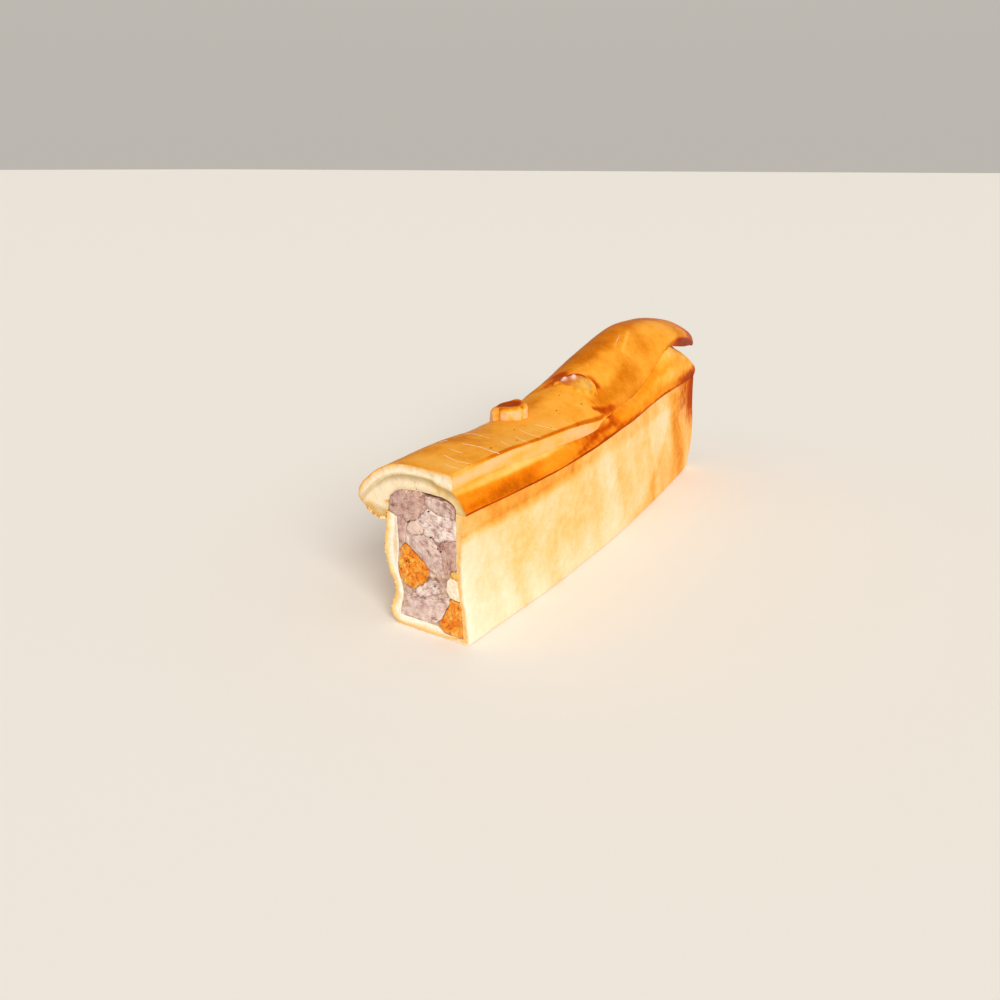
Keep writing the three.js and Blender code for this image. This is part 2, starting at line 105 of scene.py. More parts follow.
rim_height = smooth_through((0, 68), (110, 68), (160, 70), (235, 74), (340, 72))
left_wall_height = smooth_through((0, 61), (150, 62), (250, 66), (340, 72))
foot_flare = smooth_through((0, 1.3), (70, 0.3), (340, 0))
sag_at_cut = smooth_through((0, 1), (60, 0.6), (140, 0.3), (340, 0.3))
dish_at_cut = smooth_through((0, 1), (50, 0.35), (110, 0), (340, 0))
belly_at_far_end = smooth_through((0, 0), (200, 0), (300, 1), (340, 1))
crease_height = smooth_through((0, 57), (96, 61.7), (340, 66))


def left_wall_outer(z, s):
    sag = 4 * hill(z, 19, 8) - 2.4 * hill(z, 42, 12)
    return left_wall_side + sag_at_cut(s) * sag + rounded_end(s, loaf_length, far_corner_radius)


def left_wall_inner(z, s):
    sag = 2.4 * hill(z, 18, 7) - 0.8 * hill(z, 33, 7)
    corner = rounded_end(s, filling_end, far_corner_radius / 2)
    return left_wall_side + wall_thickness + sag_at_cut(s) * sag + corner


def right_wall_outer(z, s):
    u = rim_half_width + foot_flare(s) * (1 - z / rim_height(s))
    u = u - 3.6 * dish_at_cut(s) * hill(z, 38, 24) + 2 * belly_at_far_end(s) * hill(z, 28, 20)
    crease = 0.8 * eased(s, 190, 70) * hill(z, crease_height(s), 1.2)
    return u - crease - rounded_end(s, loaf_length, far_corner_radius)


def right_wall_inner(z, s):
    hollow = sag_at_cut(s) * 3.4 * eased(z, 42, 8)
    return right_inner_side + hollow - rounded_end(s, filling_end, far_corner_radius / 2)


def floor_inner(u, s):
    return floor_thickness - (floor_thickness - floor_under_fruit) * sag_at_cut(s) * eased(u, 5, 11)


rows_up = np.linspace(0, 1, 73) ** 1.5
rows_down = 1 - rows_up[::-1]
floor_columns = np.linspace(0, 1, 37)


def case_outer(s):
    """The outside of a section, from the left wall's top under the floor to the right rim."""
    heel = rounded_end(s, loaf_length, far_heel_radius)
    z = between(left_wall_height(s), heel, rows_down)
    foot = rounded_end(left_foot_radius - (z - heel), left_foot_radius, left_foot_radius)
    left = pairs(left_wall_outer(z, s) + foot, z)
    z = between(heel, rim_height(s), rows_up)
    foot = rounded_end(right_foot_radius - (z - heel), right_foot_radius, right_foot_radius)
    right = pairs(right_wall_outer(z, s) - foot, z)
    floor = between(left[:, -1:], right[:, :1], floor_columns[1:-1, None])
    return np.concatenate((left, floor, right), 1)


def case_inner(s):
    z = between(left_wall_height(s) - wall_top_slope, floor_thickness + 0 * s, rows_down)
    left = pairs(left_wall_inner(z, s), z)
    corner = floor_inner(right_inner_side, s)
    z = between(corner, rim_height(s), rows_up)
    right = pairs(right_wall_inner(z, s), z)
    u = between(left[:, -1:, 0], right[:, :1, 0], floor_columns[1:-1])
    floor = pairs(u, floor_inner(u, s))
    return np.concatenate((left, floor, right), 1)


def noise(points, size, seed):
    """Smooth random heights from -1 to 1, about that size in mm from one hill to the next."""
    cells = points / size + 13.7 * seed
    corner = np.floor(cells).astype(np.int64)
    share = eased(cells - corner, 0, 1)
    total = np.zeros(points.shape[:-1])
    for step in itertools.product((0, 1), repeat=3):
        mixed = ((corner + step) * (374761393, 668265263, 1442695041)).sum(-1) + 97 * seed
        mixed = (mixed ^ (mixed >> 13)) * 1274126177
        height = ((mixed ^ (mixed >> 16)) & 65535) / 32767.5 - 1
        total += height * np.where(step, share, 1 - share).prod(-1)
    return total


def hand_made(points):
    """The unevenness of hand-rolled dough: one field for every piece, so that pieces still meet."""
    moved = points.copy()
    loose = eased(points[:, 2], 0.5, 12)
    for size, amount, seed in ((70, 0.5, 1), (22, 0.28, 4), (7, 0.1, 7)):
        moved[:, 0] += amount * noise(points, size, seed)
        moved[:, 2] += amount * loose * noise(points, size, seed + 1)
    knifed = 0.22 * eased(points[:, 1], 2.6, 0)
    moved[:, 0] += knifed * noise(points, 2.6, 9)
    moved[:, 1] += 1.4 * knifed * noise(points, 3.1, 10)
    return moved


def on_loaf(points):
    """Places along, across and up the loaf, in mm, to its slight bend, in metres."""
    angle = (points[..., 1] - loaf_length / 2) / spine_radius
    radius = spine_radius + points[..., 0]
    bent = (radius * np.cos(angle) - spine_radius, radius * np.sin(angle), points[..., 2])
    return np.stack(bent, -1) / 1000


def grid_at(section, s, depth=0.0, fresh=0.0):
    """A grid of (u, s, z, depth below the skin, freshly cut) from (u, z) pairs."""
    s, depth, fresh = (np.broadcast_to(value, section.shape[:-1]) for value in (s, depth, fresh))
    return np.stack((section[..., 0], s, section[..., 1], depth, fresh), -1)


def below_skin(section, skin):
    """How far each (u, z) of a cut face lies from the baked outline that skin gives."""
    steps = section[..., None, :] - skin
    return np.sqrt((steps**2).sum(-1).min(-1))


def closed_piece(name, grids, paint, shape=hand_made):
    """Welds grids into one closed mesh and gives it the paint worked out for each of its points."""
    rows = np.concatenate([grid.reshape(-1, 5) for grid in grids])
    keys = np.round(rows[:, :3] * 1000).astype(np.int64)
    first, inverse = np.unique(keys, axis=0, return_index=True, return_inverse=True)[1:]
    inverse = inverse.reshape(-1)
    faces = []
    start = 0
    for grid in grids:
        across, along = grid.shape[:2]
        index = inverse[start:start + across * along].reshape(across, along)
        start += across * along
        corners = (index[:-1, :-1], index[1:, :-1], index[1:, 1:], index[:-1, 1:])
        for quad in np.stack(corners, -1).reshape(-1, 4).tolist():
            face = list(dict.fromkeys(quad))
            if len(face) > 2:
                faces.append(face)
    points = rows[first]
    mesh = bpy.data.meshes.new(name)
    mesh.from_pydata(on_loaf(np.maximum(shape(points[:, :3]), (-np.inf, -np.inf, 0))).tolist(), [], faces)
    for label, values in paint(points).items():
        mesh.attributes.new(label, "FLOAT", "POINT").data.foreach_set("value", values.astype(np.float32))
    shell = bmesh.new()
    shell.from_mesh(mesh)
    bmesh.ops.holes_fill(shell, edges=shell.edges, sides=0)
    bmesh.ops.recalc_face_normals(shell, faces=shell.faces)
    shell.to_mesh(mesh)
    shell.free()
    mesh.shade_smooth()
    mesh.set_sharp_from_angle(angle=math.radians(50))
    piece = bpy.data.objects.new(name, mesh)
    bpy.context.collection.objects.link(piece)
    return piece


near_stations = np.r_[0, 0.4, 0.9, 1.6, 2.5, 3.6, 5, np.arange(7, 333, 2)]
case_stations = np.r_[near_stations, filling_end, 334.6, 336, 337.4, 338.6, 339.4, 339.8, loaf_length]
inside_stations = case_stations[case_stations <= filling_end]
through_wall = np.array([0, 0.04, 0.09, 0.16, 0.25, 0.38, 0.52, 0.68, 0.84, 1])


def case_grids():
    outer = case_outer(case_stations[:, None])
    inner = case_inner(inside_stations[:, None])
    rows = len(rows_up)
    cut = between(outer[0][:, None], inner[0][:, None], through_wall[:, None])
    left_top, right_top = (
        between(outer[: len(inside_stations), end][:, None], inner[:, end][:, None], through_wall[:, None])
        for end in (0, -1)
    )
    depth = through_wall * wall_thickness
    far_face = between(outer[-1, :rows, None], outer[-1, -rows:][::-1, None], floor_columns[:, None])
    far_inside = between(inner[-1, :rows, None], inner[-1, -rows:][::-1, None], floor_columns[:, None])
    far_inside[-1] = inner[-1, rows - 1:rows - 1 + len(floor_columns)]
    return (
        grid_at(outer, case_stations[:, None]),
        grid_at(inner, inside_stations[:, None], wall_thickness),
        grid_at(cut, 0.0, below_skin(cut, outer[0]), 1.0),
        grid_at(left_top, inside_stations[:, None], depth),
        grid_at(right_top, inside_stations[:, None], depth),
        grid_at(far_face, loaf_length),
        grid_at(far_inside, filling_end, wall_thickness),
    )


def case_paint(points):
    """How far each place on the case is baked: pale sides in soft slanting streaks, a golden strip under the
    rim, and a far end that caught the heat; and painted shade along the crease under the strip."""
    u, s, z, depth, fresh = points.T
    streaks = np.column_stack((0.3 * u, s + 0.45 * z, 0.22 * z))
    bake = 0.23 + 0.17 * noise(streaks, 27, 11) + 0.11 * noise(streaks, 11, 13)
    strip = eased(z, crease_height(s) - 6, crease_height(s) + 1) * (u > 0)
    far = s - 1.1 * (z - 60)
    bake += strip * between(0.32, 0.16, eased(s, 60, 150)) + 0.22 * eased(far, 256, 290)
    bake += 0.06 * eased(s, 60, 130) + 0.06 * eased(s, 140, 215)
    bake -= 0.14 * eased(z, 30, 6) * eased(s, 320, 200)
    left = 0.36 + 0.1 * noise(streaks, 17, 15) + 0.12 * eased(s, 290, 338)
    bake = between(left, bake, eased(u, -18, 12))
    bake += 0.2 * eased(s, 330, 340) * eased(z, 4, 50)
    far_edge = eased(s, 288, 326) * eased(z, 14, 60) * eased(u, 2, 17)
    far_edge = np.maximum(far_edge, 0.7 * eased(s, 258, 306) * eased(z, 34, 60) * (u > 10))
    # Painted shade along the crease under the golden strip near the cut.
    crease = hill(z, crease_height(s), 0.9) * eased(s, 150, 40) * (u > 0)
    damp = fresh * eased(depth, wall_thickness - 1.6, wall_thickness - 0.3) * 0.6
    depth = depth * between(1.1, 0.3, eased(u, 8, 19))
    stain = 0.55 * far_edge + 0.2 * crease
    return {"depth": depth, "fresh": fresh, "bake": bake, "stain": stain, "damp": damp}


def colour(hex_code):
    """An sRGB hex value as the linear colour that a shader takes."""
    parts = [int(hex_code[i:i + 2], 16) / 255 for i in (1, 3, 5)]
    linear = [part / 12.92 if part <= 0.04045 else ((part + 0.055) / 1.055) ** 2.4 for part in parts]
    return (*linear, 1.0)


def feed(node, inputs):
    """Gives inputs of a node, by name or number or from the first on, their values or links to sockets."""
    for name, value in inputs.items() if isinstance(inputs, dict) else enumerate(inputs):
        if isinstance(value, bpy.types.NodeSocket):
            node.id_data.links.new(value, node.inputs[name])
        else:
            node.inputs[name].default_value = value


def add(tree, kind, inputs=(), out=0, **settings):
    """Adds a node, for shading where its kind says no other use, with its settings and its inputs, and
    gives back the output that out names."""
    node = tree.nodes.new(kind if "Node" in kind else "ShaderNode" + kind)
    for name, value in settings.items():
        if name == "stops":
            ramp = node.color_ramp
            while len(ramp.elements) < len(value):
                ramp.elements.new(0.5)
            for element, (place, shade) in zip(ramp.elements, value):
                element.position = place
                element.color = colour(shade)
        else:
            setattr(node, name, value)
    feed(node, inputs)
    return node.outputs[out] if node.outputs else None


def new_material(name, *labels):
    """A material with its node tree, its shader, the place on the piece that its patterns go by and the
    attributes of the mesh that it reads."""
    material = bpy.data.materials.new(name)
    material.use_nodes = True
    tree = material.node_tree
    place = add(tree, "TexCoord", out="Object")
    attributes = [add(tree, "Attribute", out="Fac", attribute_name=label) for label in labels]
    return material, tree, tree.nodes["Principled BSDF"], place, *attributes


def shortcrust(name, skin, crumb, damp, gloss, shine, grain, skin_reach):
    """Baked shortcrust: a mottled skin by how far it is baked, a measure that also carries painted shade and
    painted highlight; red-brown where juices ran and where shade is painted into creases, hollows and
    undersides; and a crumb where it is cut, golden under the skin for skin_reach mm and dull where it stayed
    damp. The skin is matt to satin, the crumb quite matt; grain is the height of its roughness in mm."""
    material, tree, shader, place, bake, depth, fresh, stain, wet = new_material(
        name, "bake", "depth", "fresh", "stain", "damp"
    )
    patch, mottle, fine = (
        add(tree, "TexNoise", {"Vector": place, "Scale": 1 / size, "Detail": detail})
        for size, detail in ((0.016, 2.0), (0.0045, 4.0), (0.0011, 3.0))
    )
    pores = add(tree, "TexVoronoi", {"Vector": place, "Scale": 1 / 0.0016})
    for pattern, amount in ((patch, 0.24), (mottle, 0.26), (fine, 0.2)):
        centred = add(tree, "Math", (pattern, 0.5), operation="SUBTRACT")
        bake = add(tree, "Math", (centred, amount, bake), operation="MULTIPLY_ADD")
    skin_colour = add(tree, "ValToRGB", (bake,), stops=skin)
    uneven = add(tree, "Math", (mottle, 0.5), operation="SUBTRACT")
    # The same red-brown colours real stains from running juices and painted shade.
    darkening = add(tree, "Math", (uneven, 0.3, stain), operation="MULTIPLY_ADD")
    juice_and_shade = add(
        tree, "ValToRGB", (darkening,),
        stops=((0.15, "#E87A0E"), (0.45, "#BA4804"), (0.75, "#842E08"), (1.0, "#521C0A")),
    )
    shown = add(tree, "MapRange", (darkening, 0.08, 0.5), interpolation_type="SMOOTHSTEP")
    skin_colour = add(tree, "Mix", {0: shown, 6: skin_colour, 7: juice_and_shade}, 2, data_type="RGBA")
    stretch = add(tree, "Math", (uneven, 1.8, 1.0), operation="MULTIPLY_ADD")
    ragged = add(tree, "Math", (depth, stretch), operation="MULTIPLY")
    deep = add(tree, "MapRange", (ragged, 0.3, skin_reach))
    crumb_colour = add(tree, "ValToRGB", (deep,), stops=crumb)
    crumb_colour = add(tree, "Mix", {0: wet, 6: crumb_colour, 7: colour(damp)}, 2, data_type="RGBA")
    speckle = add(tree, "MapRange", (fine, 0.3, 0.6, 0.88, 1.0))
    crumb_colour = add(
        tree, "Mix", {0: 1.0, 6: crumb_colour, 7: speckle}, 2, data_type="RGBA", blend_type="MULTIPLY"
    )
    inside = add(tree, "MapRange", (ragged, 0.05, 0.6), interpolation_type="SMOOTHSTEP")
    final = add(tree, "Mix", {0: inside, 6: skin_colour, 7: crumb_colour}, 2, data_type="RGBA")
    rough = add(tree, "MapRange", {0: inside, 3: gloss, 4: 0.8})
    rough = add(tree, "Math", (uneven, 0.3, rough), operation="MULTIPLY_ADD")
    relief = add(tree, "Math", (fine, 0.3, mottle), operation="MULTIPLY_ADD")
    holes = add(tree, "MapRange", (pores, 0.1, 0.5))
    holes = add(tree, "Math", (holes, fresh), operation="MULTIPLY")
    relief = add(tree, "Math", (holes, 0.3, relief), operation="MULTIPLY_ADD")
    bump = add(tree, "Bump", {"Height": relief, "Strength": 1.0, "Distance": grain / 1000})
    feed(shader, {"Base Color": final, "Roughness": rough, "Normal": bump})
    feed(shader, {"IOR": 1.45, "Specular IOR Level": shine})
    return material


# Shortcrust baked against the mould: pale and matt, drier and golden where it caught more heat.
pale_crust = shortcrust(
    "shortcrust baked in the mould",
    skin=(
        (0.0, "#FBEBD2"), (0.2, "#F8D9B0"), (0.38, "#F4C680"),
        (0.58, "#EEA646"), (0.8, "#D4701A"), (1.0, "#9A420C"),
    ),
    crumb=((0.0, "#F0BC66"), (0.4, "#F9DAA0"), (0.8, "#FFF1D8"), (1.0, "#FFF6E6")),
    damp="#DDBB86",
    gloss=0.5,
    shine=0.004,
    grain=0.25,
    skin_reach=4.2,
)
case = closed_piece("case_crust", case_grids(), case_paint)
case.data.materials.append(pale_crust)
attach(case, "root")
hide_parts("case")

# The two flaps. The case's long edges are folded in over the filling and meet in a seam a little
# left of the middle; the right one shows as the golden band under the lid, the left one only as a
# pale, underbaked layer in the cut and as the crumbly underside of the overhang.
seam_side = -6.0
gap = 0.3
contact = 0.03
band_inset = 2.0
overhang_drop = 5.0
overhang_inset = 8.0
overhang_lift = 2.4
lip_out = 0.9
lip_height = 1.3
flush_drop = 1.6
flush_out = 0.35
wall_clearance = 1.0
arch_middle = -2.85
arch_left_side = -24.0
arch_power = 2.8
flap_least = 2.2
crest_line = -9.0
droop_power = 2.3
sheet_thickness = 5.0
sheet_tip_thickness = 6.3
crest_height = smooth_through(
    (0, 87.6), (40, 89.6), (72, 88.9), (96, 90.2), (118, 93), (137, 97.2), (165, 104.2), (200, 112.9),
    (243, 119.8), (284, 118.9), (342, 112), (356, 107.8),
)
sheet_edge_side = smooth_through((0, 16.3), (80, 18), (356, 19))
sheet_edge_height = smooth_through(
    (0, 86.8), (35, 88.4), (70, 87.4), (120, 84.6), (158, 80.4), (185, 82.8), (214, 86.4), (240, 94),
    (262, 103), (288, 108), (320, 104.5), (356, 95.5),
)
sheet_edge_thickness = smooth_through(
    (0, 8), (90, 8.6), (122, 8.6), (140, 6.8), (150, 4.8), (161, 3.6), (185, 3.2), (245, 3.2), (275, 5.5),
    (300, 8.5), (320, 8.5), (340, 6.5), (356, 5),
)
sheet_tip_side = smooth_through((0, -46.5), (60, -45), (170, -40.5), (260, -37), (356, -35))
sheet_tip_height = smooth_through((0, 65.9), (80, 67), (170, 74), (250, 80), (356, 80))
arch_depth = smooth_through((0, 12.4), (110, 13), (200, 16.5), (340, 16.5))


def domed_end(s, start, end):
    """1 up to the start, then down to 0 at the end like a blunt dome."""
    past = np.clip((s - start) / (end - start), 0, 1)
    return np.cbrt(1 - past**3)


def sheet_top(u, s):
    """The lid's upper face: it falls gently to the right edge and droops to the tip on the left."""
    crest = crest_height(s)
    right = np.clip((u - crest_line) / (sheet_edge_side(s) - crest_line), 0, None)
    left = np.clip((u - crest_line) / (sheet_tip_side(s) - crest_line), 0, None)
    right = crest - (crest - sheet_edge_height(s)) * right**2
    left = crest - (crest - sheet_tip_height(s)) * left**droop_power
    return np.where(u > crest_line, right, left)


def sheet_depth(u, s):
    edge = (sheet_edge_thickness(s) - sheet_thickness) * eased(u / sheet_edge_side(s), 0, 1)
    tip = (sheet_tip_thickness - sheet_thickness) * eased(u / sheet_tip_side(s), 0, 1)
    return sheet_thickness + edge + tip


def sheet_slope(u, s):
    step = 0.05
    return (sheet_top(u + step, s) - sheet_top(u - step, s)) / (2 * step)


def under_sheet(u, s, depth, upright):
    """The place that far below the lid's face: square to it, or straight down where its edge is upright."""
    edge = sheet_edge_side(s)
    slope = sheet_slope(u, s) * between(1, eased(u, edge - 1, edge - 9), upright)
    length = np.hypot(slope, 1)
    return pairs(u + depth * slope / length, sheet_top(u, s) - depth / length)


def upright_edge(s):
    """1 along the near part of the lid's right edge, which was cut upright."""
    return eased(s, 172, 158)


def closed_height(s):
    """Where the flaps come down on the walls at the far end."""
    return np.maximum(left_wall_height(s), rim_height(s)) + gap


def flap_depth(u, s):
    """How far the flaps' upper face lies below the lid's, which is more where the beak stands free."""
    return sheet_depth(u, s) + contact + 2.6 * eased(s, 275, 312)


def arch_top(u, s):
    """The underside of the flaps over the filling, from the left wall to the right rim."""
    base = np.where(u < seam_side, left_wall_height(s), rim_height(s)) + gap
    out = np.minimum(1, np.abs(u - arch_middle) / (right_inner_side - arch_middle))
    rise = (1 - out**arch_power) ** (1 / arch_power)
    crown = between(closed_height(s), crest_height(s) - arch_depth(s), domed_end(s, 258, filling_end))
    lid = sheet_top(u, s) - (flap_depth(u, s) + flap_least) * np.hypot(sheet_slope(u, s), 1)
    return np.maximum(base, np.minimum(base + (crown - base) * rise, lid))


def flap_top(u, s):
    top = under_sheet(u, s, flap_depth(u, s), upright_edge(s))
    top[..., 1] = between(closed_height(s), top[..., 1], domed_end(s, 278, 341))
    return top


band_rows = np.linspace(0, 1, 25)
cover_columns = np.linspace(0, 1, 25)
flap_stations = np.r_[near_stations, filling_end, 335.4, 337, 338.4, 339.4, 340.1, 340.5, 340.8, 341]
through_flap = np.array([0, 0.04, 0.09, 0.15, 0.22, 0.3, 0.38, 0.46, 0.54, 0.62, 0.7, 0.78, 0.86, 0.93, 1])


def right_flap_outer(s):
    """The band on the right, from its lip on the rim up to the lid's edge, then the part under the lid."""
    rim = rim_height(s)
    rim_side = rim_half_width - rounded_end(np.minimum(s, loaf_length), loaf_length, far_corner_radius)
    edge = np.minimum(sheet_edge_side(s), rim_side - band_inset)
    top = flap_top(edge, s)
    lean = 0.6 * band_rows**1.2 + 0.4 * (1 - np.sqrt(1 - band_rows**2))
    flush = eased(s, 143, 154) * eased(s, 288, 256)
    crest = between(top[..., 1], sheet_edge_height(s) - flush_drop, flush)
    z = between(rim - 0.1, crest, band_rows)
    lip = lip_out * hill(z, rim + lip_height, 1.4) * eased(s, 325, 290)
    lip = lip - 0.5 * eased(z, rim + 0.6, rim - 0.1)
    belly = np.sin(math.pi * band_rows) * (1.6 * eased(s, 160, 185) + 1.8 * eased(s, 240, 305))
    band = pairs(between(rim_side, between(top[..., 0], edge + flush_out, flush), lean) + lip + belly, z)
    cover = flap_top(between(edge, seam_side + gap / 2, cover_columns[1:]), s)
    return np.concatenate((band, cover), 1)


def right_flap_inner(s):
    turn = np.linspace(0, math.pi / 2, len(band_rows) + len(cover_columns) - 1)
    edge = right_inner_side - rounded_end(np.minimum(s, filling_end), filling_end, far_corner_radius / 2)
    u = between(seam_side + gap / 2, edge, np.cos(turn))
    return pairs(u, arch_top(u, s))


def slab(outer, inner, stations, through, skin):
    """The faces of a pastry layer between an outer and an inner face, with its cut end and its sides.
    At the cut the crumb is as deep as it lies from the outer columns that skin names."""
    block = between(outer[:, :, None], inner[:, :, None], through[:, None])
    s = stations[:, None]
    cut_depth = below_skin(block[0], outer[0][skin])
    return (
        grid_at(block[0], stations[0], cut_depth, 1.0),
        grid_at(outer, s),
        grid_at(block[:, 0], s),
        grid_at(block[:, -1], s),
        grid_at(block[-1], stations[-1]),
        grid_at(inner, s),
    )


def fold_over_band(above, s):
    """1 along the fold that runs from the lid's crease down over the band and out along its lip."""
    run_out = hill(above, 1.2 + 0.075 * (s - 97), between(1.2, 3.0, eased(s, 97, 150)))
    run_out = run_out * eased(s, 92, 116) * eased(s, 176, 160)
    drop = hill(s, 163, between(4, 7, eased(above, 12, 4))) * eased(above, 1, 4)
    return np.maximum(run_out, drop)


def torn_seam(points):
    """The two flaps were pressed together by hand, so the seam between them wanders."""
    u, z = points[:, 0], points[:, 2]
    moved = points.copy()
    near = eased(np.abs(u - seam_side), 4, 0.5) * eased(z, 70, 73)
    moved[:, 0] += near * (1.1 * noise(points, 5, 91) + 0.5 * noise(points, 1.8, 92))
    return moved


def rucked(points):
    """The band is pulled in along the fold and pushed up in lumps on both sides of it."""
    u, s, z = points.T
    above = z - rim_height(s)
    covered = eased(sheet_top(u, s) - sheet_depth(u, s) - z, 4.5, 1) * eased(s, 157, 147)
    free = eased(s, 100, 135) * eased(s, 225, 185) * eased(above, 0.5, 3.5) * (u > 10) * (1 - covered)
    moved = torn_seam(points)
    moved[:, 0] += free * (0.6 + 1.7 * noise(points, 11, 25) + 0.5 * noise(points, 5, 26))
    moved[:, 0] -= 1.2 * fold_over_band(above, s) * (u > 10)
    return hand_made(moved)


def flap_paint(points):
    """The band bakes golden orange in patches, and brown along its lip and in the fold; the lip's underside
    also carries painted shade, and a painted shadow lies just under the lid's edge.
    """
    u, s, z, depth, fresh = points.T
    place = points[:, :3]
    above = z - rim_height(s)
    drawn = place * (1, 0.3, 1)
    bake = 0.5 + 0.1 * noise(drawn, 7, 21) + 0.08 * noise(drawn, 3, 23)
    bake += 0.14 * eased(s, 75, 25) * eased(above, 8, 2) + 0.12 * eased(s, 135, 95) * eased(above, 10, 7)
    bake -= 0.3 * eased(above, 8, 10) * eased(s, 112, 85)
    bake -= 0.24 * eased(above, 4, 11) * eased(s, 225, 270)
    uneven = 0.85 + 0.25 * noise(drawn, 5, 27) + 0.1 * noise(drawn, 2, 28)
    # The lip: brown where it caught the heat, and painted shade on its underside.
    lip_width = between(0.9, 2.1, eased(s, 120, 160))
    lip = 0.72 * hill(np.maximum(above, 0.7), 0.7, lip_width)
    low = 0.3 + 0.25 * eased(s, 150, 166) * eased(s, 208, 188)
    low = low * eased(s, 104, 140) * eased(s, 250, 200) * eased(above, 8, 0.5)
    far_lip = 0.7 * eased(s, 235, 295) * eased(above, 15, 1)
    under_lid = np.clip(sheet_top(u, s) - sheet_depth(u, s) - z, 0, None)
    # A painted shadow on the band just under the lid's edge.
    under_edge = 0.4 * eased(under_lid, 2.2, 0.2) * eased(s, 95, 120) * eased(s, 158, 150)
    stain = uneven * np.maximum.reduce((lip, 0.5 * fold_over_band(above, s), low, far_lip, under_edge))
    damp = fresh * (0.9 * eased(under_lid, 4.5, 0.3) + 0.35 * eased(z - arch_top(u, s), 2.5, 0.2))
    browned = fresh * hill(u, -22, 4.5) * hill(z, 66.3 + 0.2 * (u + 24), 1.5)
    stain = np.where(u > 10, stain, 0.8 * browned)
    depth = depth * (1 - 0.95 * eased(browned, 0.15, 0.6))
    return {"depth": depth, "fresh": fresh, "bake": bake, "stain": stain, "damp": damp}


# Shortcrust under egg wash that ran down: golden orange, dark where the lip caught the heat, and darker with
# painted shade under the lip and under the lid's edge.
golden_crust = shortcrust(
    "shortcrust folded over and baked",
    skin=((0.0, "#FCCB78"), (0.3, "#F5AC40"), (0.5, "#EF921E"), (0.72, "#DD7208"), (1.0, "#963F04")),
    crumb=((0.0, "#D89C44"), (0.35, "#EAC686"), (0.75, "#F4DAAE"), (1.0, "#F8E4C4")),
    damp="#BCA272",
    gloss=0.4,
    shine=0.004,
    grain=0.22,
    skin_reach=7.0,
)
outer = right_flap_outer(flap_stations[:, None])
inner = right_flap_inner(flap_stations[:, None])
baked_columns = len(band_rows) + 9
skin = np.arange(outer.shape[1]) < baked_columns
layers = slab(outer, inner, flap_stations, through_flap, skin)
flap_right = closed_piece("flap_right_crust", layers, flap_paint, rucked)

arch_columns = np.sin(np.linspace(0, math.pi / 2, 25))
overhang_columns = np.linspace(0, 1, 21)
step_rows = 6
overhang_start = 0.56
overhang_low = 0.7


def left_flap_outer(s):
    first = between(0.0, overhang_start, np.linspace(0, 1, len(arch_columns) + step_rows))
    last = between(overhang_start, 1.0, overhang_columns[1:])
    return flap_top(between(seam_side - gap / 2, sheet_tip_side(s), np.r_[first, last]), s)


def left_flap_inner(s):
    """An arch over the filling, a step down outside the left wall, and the underside of the overhang."""
    u = between(seam_side - gap / 2, arch_left_side, arch_columns) + 0 * s
    arch = pairs(u, arch_top(u, s))
    wall_side = left_wall_side - wall_clearance + 0 * s
    top = pairs(wall_side, left_wall_height(s) - 0.2)
    drop = pairs(wall_side, left_wall_height(s) - overhang_drop + overhang_lift * overhang_low**2)
    step = between(top, drop, np.linspace(0, 1, step_rows)[:, None])
    u = between(wall_side, sheet_tip_side(s) + overhang_inset, overhang_columns)
    z = left_wall_height(s) - overhang_drop + overhang_lift * (2 * overhang_columns - overhang_low) ** 2
    under = pairs(u, z)
    return np.concatenate((arch, step, under[:, 1:]), 1)


outer = left_flap_outer(flap_stations[:, None])
inner = left_flap_inner(flap_stations[:, None])
under = np.arange(inner.shape[1]) >= len(arch_columns) + step_rows
layers = slab(inner, outer, flap_stations, through_flap, under)
flap_left = closed_piece("flap_left_crust", layers, flap_paint, lambda points: hand_made(torn_seam(points)))
for flap, node in ((flap_right, "flap_right"), (flap_left, "flap_left")):
    flap.data.materials.append(golden_crust)
    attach(flap, "root")
    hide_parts(node)

# The forcemeat. Minced pork packed round the larger pieces and set in its own juices, so the knife
# leaves a slightly ragged face between them. It has shrunk from the lid on the right, which leaves
# a dark gap there.
heart = np.array((-2.0, 52.0))
piece_spread = 1.32
shrunk_from_lid = 1.9
set_back = 0.15
ring_points = 300
ring_rows = np.linspace(0, 1, 90)
Oval = collections.namedtuple("Oval", "u z long wide tilt depth")
filling_pieces = {
    "pork_top_left": Oval(-12, 67, 11, 8.2, 15, 20),
    "pork_left": Oval(-15.3, 54, 7.2, 3.4, -83, 14),
    "pork_top_right": Oval(9, 69.5, 9.2, 4.3, -12, 18),
    "pork_right": Oval(6.3, 59.5, 12, 6.6, -3, 24),
    "pork_diagonal": Oval(-1.5, 45, 12, 6.2, -34, 22),
    "pork_right_low": Oval(13.2, 45.5, 8.2, 5.4, 82, 16),
    "pork_pale": Oval(-0.5, 23, 8.2, 3.8, 34, 12),
    "pork_bottom": Oval(-3, 12.5, 16.5, 7, 18, 24),
    "fat_middle": Oval(-7.3, 55, 4.6, 2.8, 22, 9),
    "fat_right": Oval(16.8, 27.8, 5.6, 4, -80, 10),
    "fruit_left": Oval(-10, 33.5, 9.6, 8.6, -60, 16),
    "fruit_right": Oval(15.2, 10.8, 9.8, 6.6, 72, 16),
    "fruit_yellow": Oval(17, 35.4, 2.8, 2.4, -43, 6),
}


